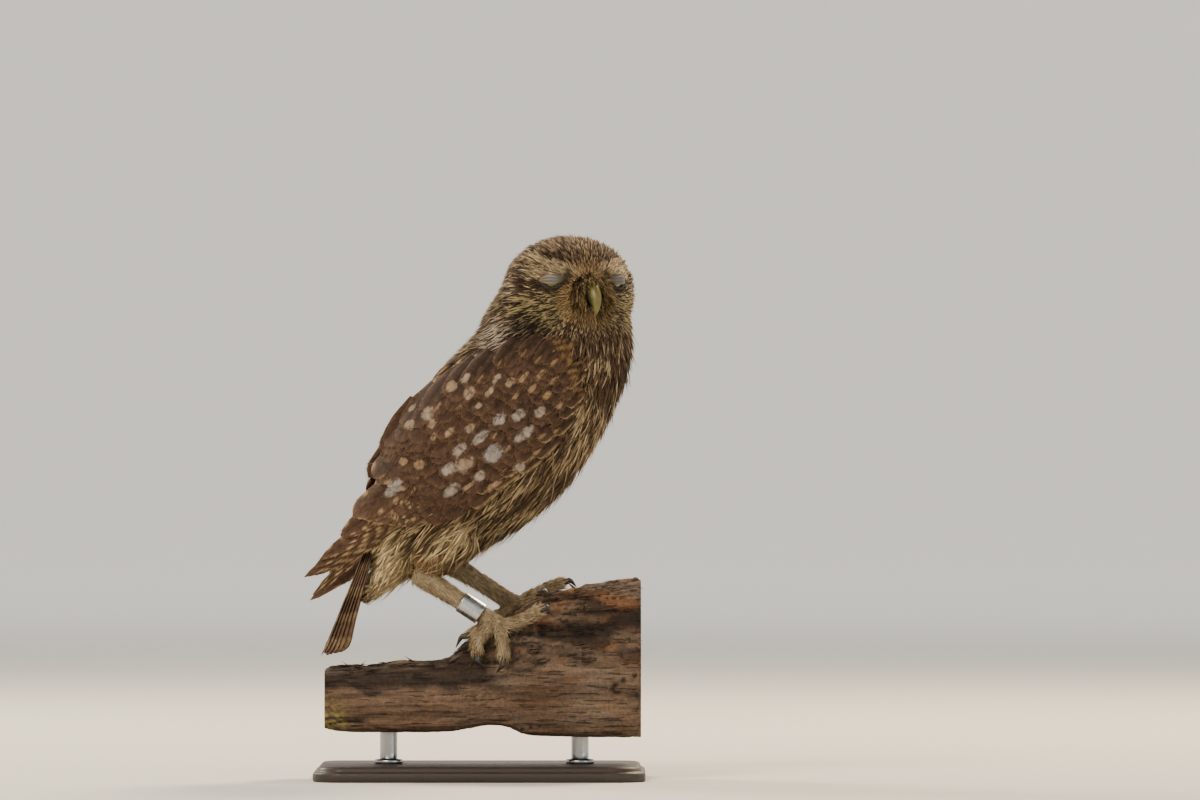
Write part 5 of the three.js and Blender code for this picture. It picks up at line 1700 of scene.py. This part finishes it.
def railMesh():
    mesh = loft("split_rail", railSections())
    points, normals = getPoints(mesh)
    x, y, z = points.T
    front = ease(0.3, 0.8, -normals[:, 1])
    topSide = ease(0.3, 0.8, normals[:, 2])
    ends = ease(rail["left"], rail["left"] + 2.5, x) * ease(rail["right"], rail["right"] - 2.0, x)
    wander = np.stack([0 * x, drift(points, 40, 70), drift(points, 40, 71)], 1)
    bent = np.stack([x * 0.12, y, z], 1) + 0.8 * wander
    terrace = np.round(drift(bent, 9.0, 72) * 2.2) / 2.2
    proud = 1.1 * ease(6, 12, x + 0.35 * (z - 50) + 2.5 * drift(points, 9, 73)) * front
    fibres = 0.32 * drift(points, 1.5, 74, 0.06) + 0.18 * drift(points, 0.8, 75, 0.1)
    crack = 1 - np.abs(np.clip(drift(bent, 13.0, 76), -1, 1))
    cracks = ease(0.9, 0.99, crack) * ease(-0.2, 0.5, drift(points, 30, 77))
    high = ease(0.25, 0.75, (z - 30) / 55)
    hollow = ease(0.35, 0.9, drift(points, 16, 78, 0.5)) * ease(55, 66, z) * front
    chips = ease(0.4, 0.8, drift(points, 5.0, 79, 0.4)) * (0.3 + 0.7 * high)
    rise = proud + fibres + 0.7 * (terrace - 0.2) * (0.4 + 0.8 * high)
    rise = rise - 1.5 * cracks - 1.8 * hollow - 0.7 * chips
    rise = rise + topSide * (0.8 * drift(points, 7, 80, 0.35) - 0.1)
    rise = rise * (1 - 0.5 * ease(0.3, 0.8, -normals[:, 2]))
    clear = gripClear(points)
    rise = rise * ends * clear - 0.3 * (1 - clear)
    setPoints(mesh, points + normals * rise[:, None])
    paintRail(mesh, points, normals, topSide, high, np.maximum(cracks, 0.9 * hollow), chips)
    slivers = mesh.copy()
    addSliverValues(slivers, points, normals, topSide, front * high)
    return mesh, slivers


def gripClear(points):  # 0 where the toes press on the wood
    clear = np.ones(len(points))
    for leg in legs.values():
        for path, hook in leg["toes"].values():
            for place in [leg["ball"], *path, *hook]:
                clear = np.minimum(clear, ease(3.5, 7.5, distance(points, place)))
    return clear


def paintRail(mesh, points, normals, topSide, high, deep, chips):
    x, z = points[:, 0], points[:, 2]
    grain = drift(points, 2.2, 81, 0.05)
    colour = mix(rail["brown"], rail["grey"], 0.5 + 0.45 * drift(points, 22, 82, 0.6))
    warm = drift(points, 13, 83, 0.5) + 0.7 * (high - 0.45)
    colour = mix(colour, rail["orange"], 0.85 * ease(0.0, 0.7, warm) * ease(6, 20, x) * (0.35 + 0.65 * high))
    arm = ease(14, 2, x + 0.4 * (z - 45))
    upperArm = ease(38.5, 43.5, z + 1.6 * drift(points, 12, 84))
    colour = mix(colour, rail["dark"], arm * upperArm * 0.85)
    colour = mix(colour, rail["arm"], arm * (1 - upperArm) * 0.6)
    stain = ease(0.25, 0.8, drift(points, 10, 85, 0.45)) * (0.25 + 0.75 * high)
    colour = mix(colour, rail["dark"], 0.75 * stain)
    # painted shade: the cracks and hollows are painted near black and the chips darkened, in their recesses
    colour = mix(colour, rail["black"], 0.9 * deep)
    colour = mix(colour, rail["black"], 0.4 * chips)
    bark = topSide * ease(-0.3, 0.4, drift(points, 6, 86, 0.5))
    colour = mix(colour, mix(rail["dark"], rail["grey"], 0.3 + 0.3 * grain), 0.75 * bark)
    colour = colour * (1 + 0.28 * np.clip(grain, -1, 1))[:, None]
    colour = mix(colour, rail["sawn"] * 0.8, 0.7 * ease(0.6, 0.95, np.abs(normals[:, 0])))
    corner = ease(16, 4, distance(points, v3(-71, -18, 27), v3(1, 0.6, 1)))
    colour = mix(colour, rail["lichen"], 0.7 * corner * ease(-0.3, 0.4, drift(points, 3, 87)))
    setValues(mesh, tone=np.clip(colour, 0.002, 1))


def addSliverValues(mesh, points, normals, topSide, upperFront):
    # how close the slivers stand, along both ways of the grain: on ragged top edges, and thick at the step
    x, z = points[:, 0], points[:, 2]
    ragged = ease(0.1, 0.6, topSide) * ease(-0.1, 0.5, drift(points, 8, 88)) + 0.25 * upperFront
    ragged = ragged + 1.5 * ease(9, 3, np.abs(x + 2 - 0.6 * (z - 62))) * ease(56, 60, z)
    ends = ease(rail["left"] + 3, rail["left"] + 9, x) * ease(rail["right"] - 3, rail["right"] - 9, x)
    ways = np.where(drift(points, 5, 89) > 0, 1.0, -1.0)[:, None] * v3(1.0, 0.0, 0.12)
    setValues(mesh, cover=np.clip(ragged * gripClear(points) * ends, 0, 2), lie=unit(flatten(ways, normals)),
              unwrap=np.stack([0.5 + x / 150, 0.5 + z / 150, 0 * x], 1))


def drawnOut(tree, along, across):  # object places drawn out along the grain
    ins = {"Vector": objectPlace(tree), "Scale": (along, across, across)}
    return node(tree, "ShaderNodeMapping", ins).outputs[0]


def woodMaterial():
    material, tree, shader = newMaterial("weathered_timber", Roughness=0.82, Specular_IOR_Level=0.3)
    fibre = noise(tree, drawnOut(tree, 28.0, 420.0), 1.6, 6.0, 0.65)
    speck = noise(tree, objectPlace(tree), 620.0, 4.0, 0.7)
    both = maths(tree, "ADD", fibre, speck)
    amount = ranged(tree, both, 0.65, 1.35, 0.4, 1.65)
    # short dark splits along the grain: painted shade in their bumped grooves
    splits = noise(tree, drawnOut(tree, 75.0, 750.0), 1.0, 2.0, 0.45)
    depth = ranged(tree, splits, 0.36, 0.42, 0.4, 1.0, "SMOOTHSTEP")
    shade = scaled(tree, attribute(tree, "tone", "Color"), maths(tree, "MULTIPLY", amount, depth))
    feed(tree, shader, Base_Color=shade, Normal=bumped(tree, maths(tree, "ADD", both, depth), 0.75, 0.0007))
    return material


woodFinish = woodMaterial()
railSkin, splinterBase = railMesh()
makePiece("split_rail", railSkin, woodFinish, "weathered_wood", "perch")
scattered("rail_splinters", splinterBase, woodFinish, "weathered_wood", Density=2.6e5, Length=0.0055,
          Width=0.0016, Lean=0.03, Loose=0.09, Seed=11)
print("rail made")


# the stand: a moulded board and two steel rods with collars
stand = tones(  # moulding: inset and height
    long=152, wide=96, corner=14, rods=(-42, 46), rodRadius=4.0, rodTop=32.0, collar=6.6,
    board="2b211b", steel="a6a8aa",
    moulding=[(0.5, 0), (0, 0.5), (0, 3.4), (0.35, 4.1), (1.0, 4.5), (1.7, 4.7), (2.0, 5.2), (2.4, 6.2),
              (3.2, 6.8), (4.4, 7.0)],
)


def roundedLoop(inset, z, perCorner=12):
    x, y = stand["long"] / 2 - stand["corner"], stand["wide"] / 2 - stand["corner"]
    r = stand["corner"] - inset
    loop = []
    for k, (sx, sy) in enumerate([(1, 1), (-1, 1), (-1, -1), (1, -1)]):
        for turn in np.linspace(0, math.pi / 2, perCorner) + k * math.pi / 2:
            loop.append((sx * x + r * math.cos(turn), sy * y + r * math.sin(turn), z))
    return loop


def boardMesh():
    return paintOne(loft("stand_board", [roundedLoop(*row) for row in stand["moulding"]]), stand["board"])


def rodMesh(name, x):
    r, c = stand["rodRadius"], stand["collar"]
    profile = [(c - 0.5, 7.05), (c, 7.4), (c, 8.6), (c - 0.5, 9.1), (r + 0.35, 9.2), (r, 9.6)]
    profile += [(r, 9.6 + (stand["rodTop"] - 10.2) * k / 8) for k in range(1, 9)]
    profile += [(r - 0.4, stand["rodTop"])]
    a = around(64)
    rings = [np.stack([x + q * np.cos(a), q * np.sin(a), np.full(64, z)], 1) for q, z in profile]
    return paintOne(loft(name, rings), stand["steel"])


boardFinish = simpleMaterial("stand_board", 0.6, 260.0, 0.25, 0.12, coat=0.08)
steelFinish = simpleMaterial("stand_steel", 0.32, 500.0, 0.08, 0.05, metallic=1.0)
makePiece("stand_board", boardMesh(), boardFinish, "stand_board", "stand_base")
for number, rodX in enumerate(stand["rods"], 1):
    makePiece(f"stand_post_{number}", rodMesh(f"stand_post_{number}", rodX), steelFinish, "stand_metal",
              f"stand_rod_{number}")
print("stand made")


# stage: pale floor and soft studio light
studio = tones(
    floor="d9d6cf", wall="ebe7df", glow=0.6, world="dfe3e6", worldStrength=0.22,
    bend=2500.0, reach=7500.0, high=6000.0, aim=(0.0, 0.0, 0.16),
)
lamps = dict(  # place, size, power and colour
    key=((-0.7, -1.2, 1.3), 0.7, 30.0, "fff0dc"), fill=((1.4, -1.1, 0.5), 1.0, 5.2, "eef3ff"),
    rim=((0.7, 1.0, 1.2), 0.5, 39.0, "ffe6bf"), rimLeft=((-1.0, 0.9, 0.9), 0.5, 20.8, "fff2df"),
)


def paperMaterial():  # grained paper that glows towards its far edge
    material, tree, shader = newMaterial("studio_paper", Roughness=0.85, Emission_Strength=1.0)
    place = objectPlace(tree)
    grain = ranged(tree, noise(tree, place, 180.0, 3.0), 0.3, 0.7, 0.97, 1.03)
    glow = ranged(tree, length(tree, place), 0.4, 3.8, 0.0, studio["glow"], "SMOOTHSTEP")
    feed(tree, shader, Base_Color=scaled(tree, studio["floor"], grain),
         Emission_Color=scaled(tree, studio["wall"], glow))
    material.cycles.emission_sampling = "NONE"
    return material


def addStage():  # a wide round floor with the wall bending up far behind every side
    cols = 64
    bend, reach = studio["bend"], studio["reach"]
    profile = [(1.0, 0.0), (300.0, 0.0), (1200.0, 0.0), (reach - bend, 0.0)]
    curve = np.linspace(0.1, math.pi / 2, 12)
    profile += [(reach - bend + bend * math.sin(a), bend - bend * math.cos(a)) for a in curve]
    profile += [(reach, studio["high"])]
    points = [(r * math.cos(a), r * math.sin(a), z) for r, z in profile for a in around(cols)]
    sides = [(i, (i + 1) % cols) for i in range(cols)]
    rows = range(0, (len(profile) - 1) * cols, cols)
    faces = [(k + a, k + cols + a, k + cols + b, k + b) for k in rows for a, b in sides]
    mesh = makeMesh("studio_floor", points, faces)
    mesh.materials.append(paperMaterial())
    floor = bpy.data.objects.new("studio_floor", mesh)
    bpy.context.scene.collection.objects.link(floor)


def addLamp(name, place, size, power, colour):
    data = bpy.data.lights.new(name, "AREA")
    data.shape = "DISK"
    data.size = size
    data.energy = power
    data.color = tuple(tone(colour))
    lamp = bpy.data.objects.new(name, data)
    lamp.location = place
    lamp.rotation_euler = (Vector(studio["aim"]) - Vector(place)).to_track_quat("-Z", "Y").to_euler()
    bpy.context.scene.collection.objects.link(lamp)


def addLight():
    world = bpy.data.worlds.new("studio")
    world.use_nodes = True
    ins = dict(Color=(*studio["world"], 1), Strength=studio["worldStrength"])
    feed(world.node_tree, world.node_tree.nodes["Background"], **ins)
    bpy.context.scene.world = world
    for name, lamp in lamps.items():
        addLamp(name, *lamp)


addStage()
addLight()
print("stage set")
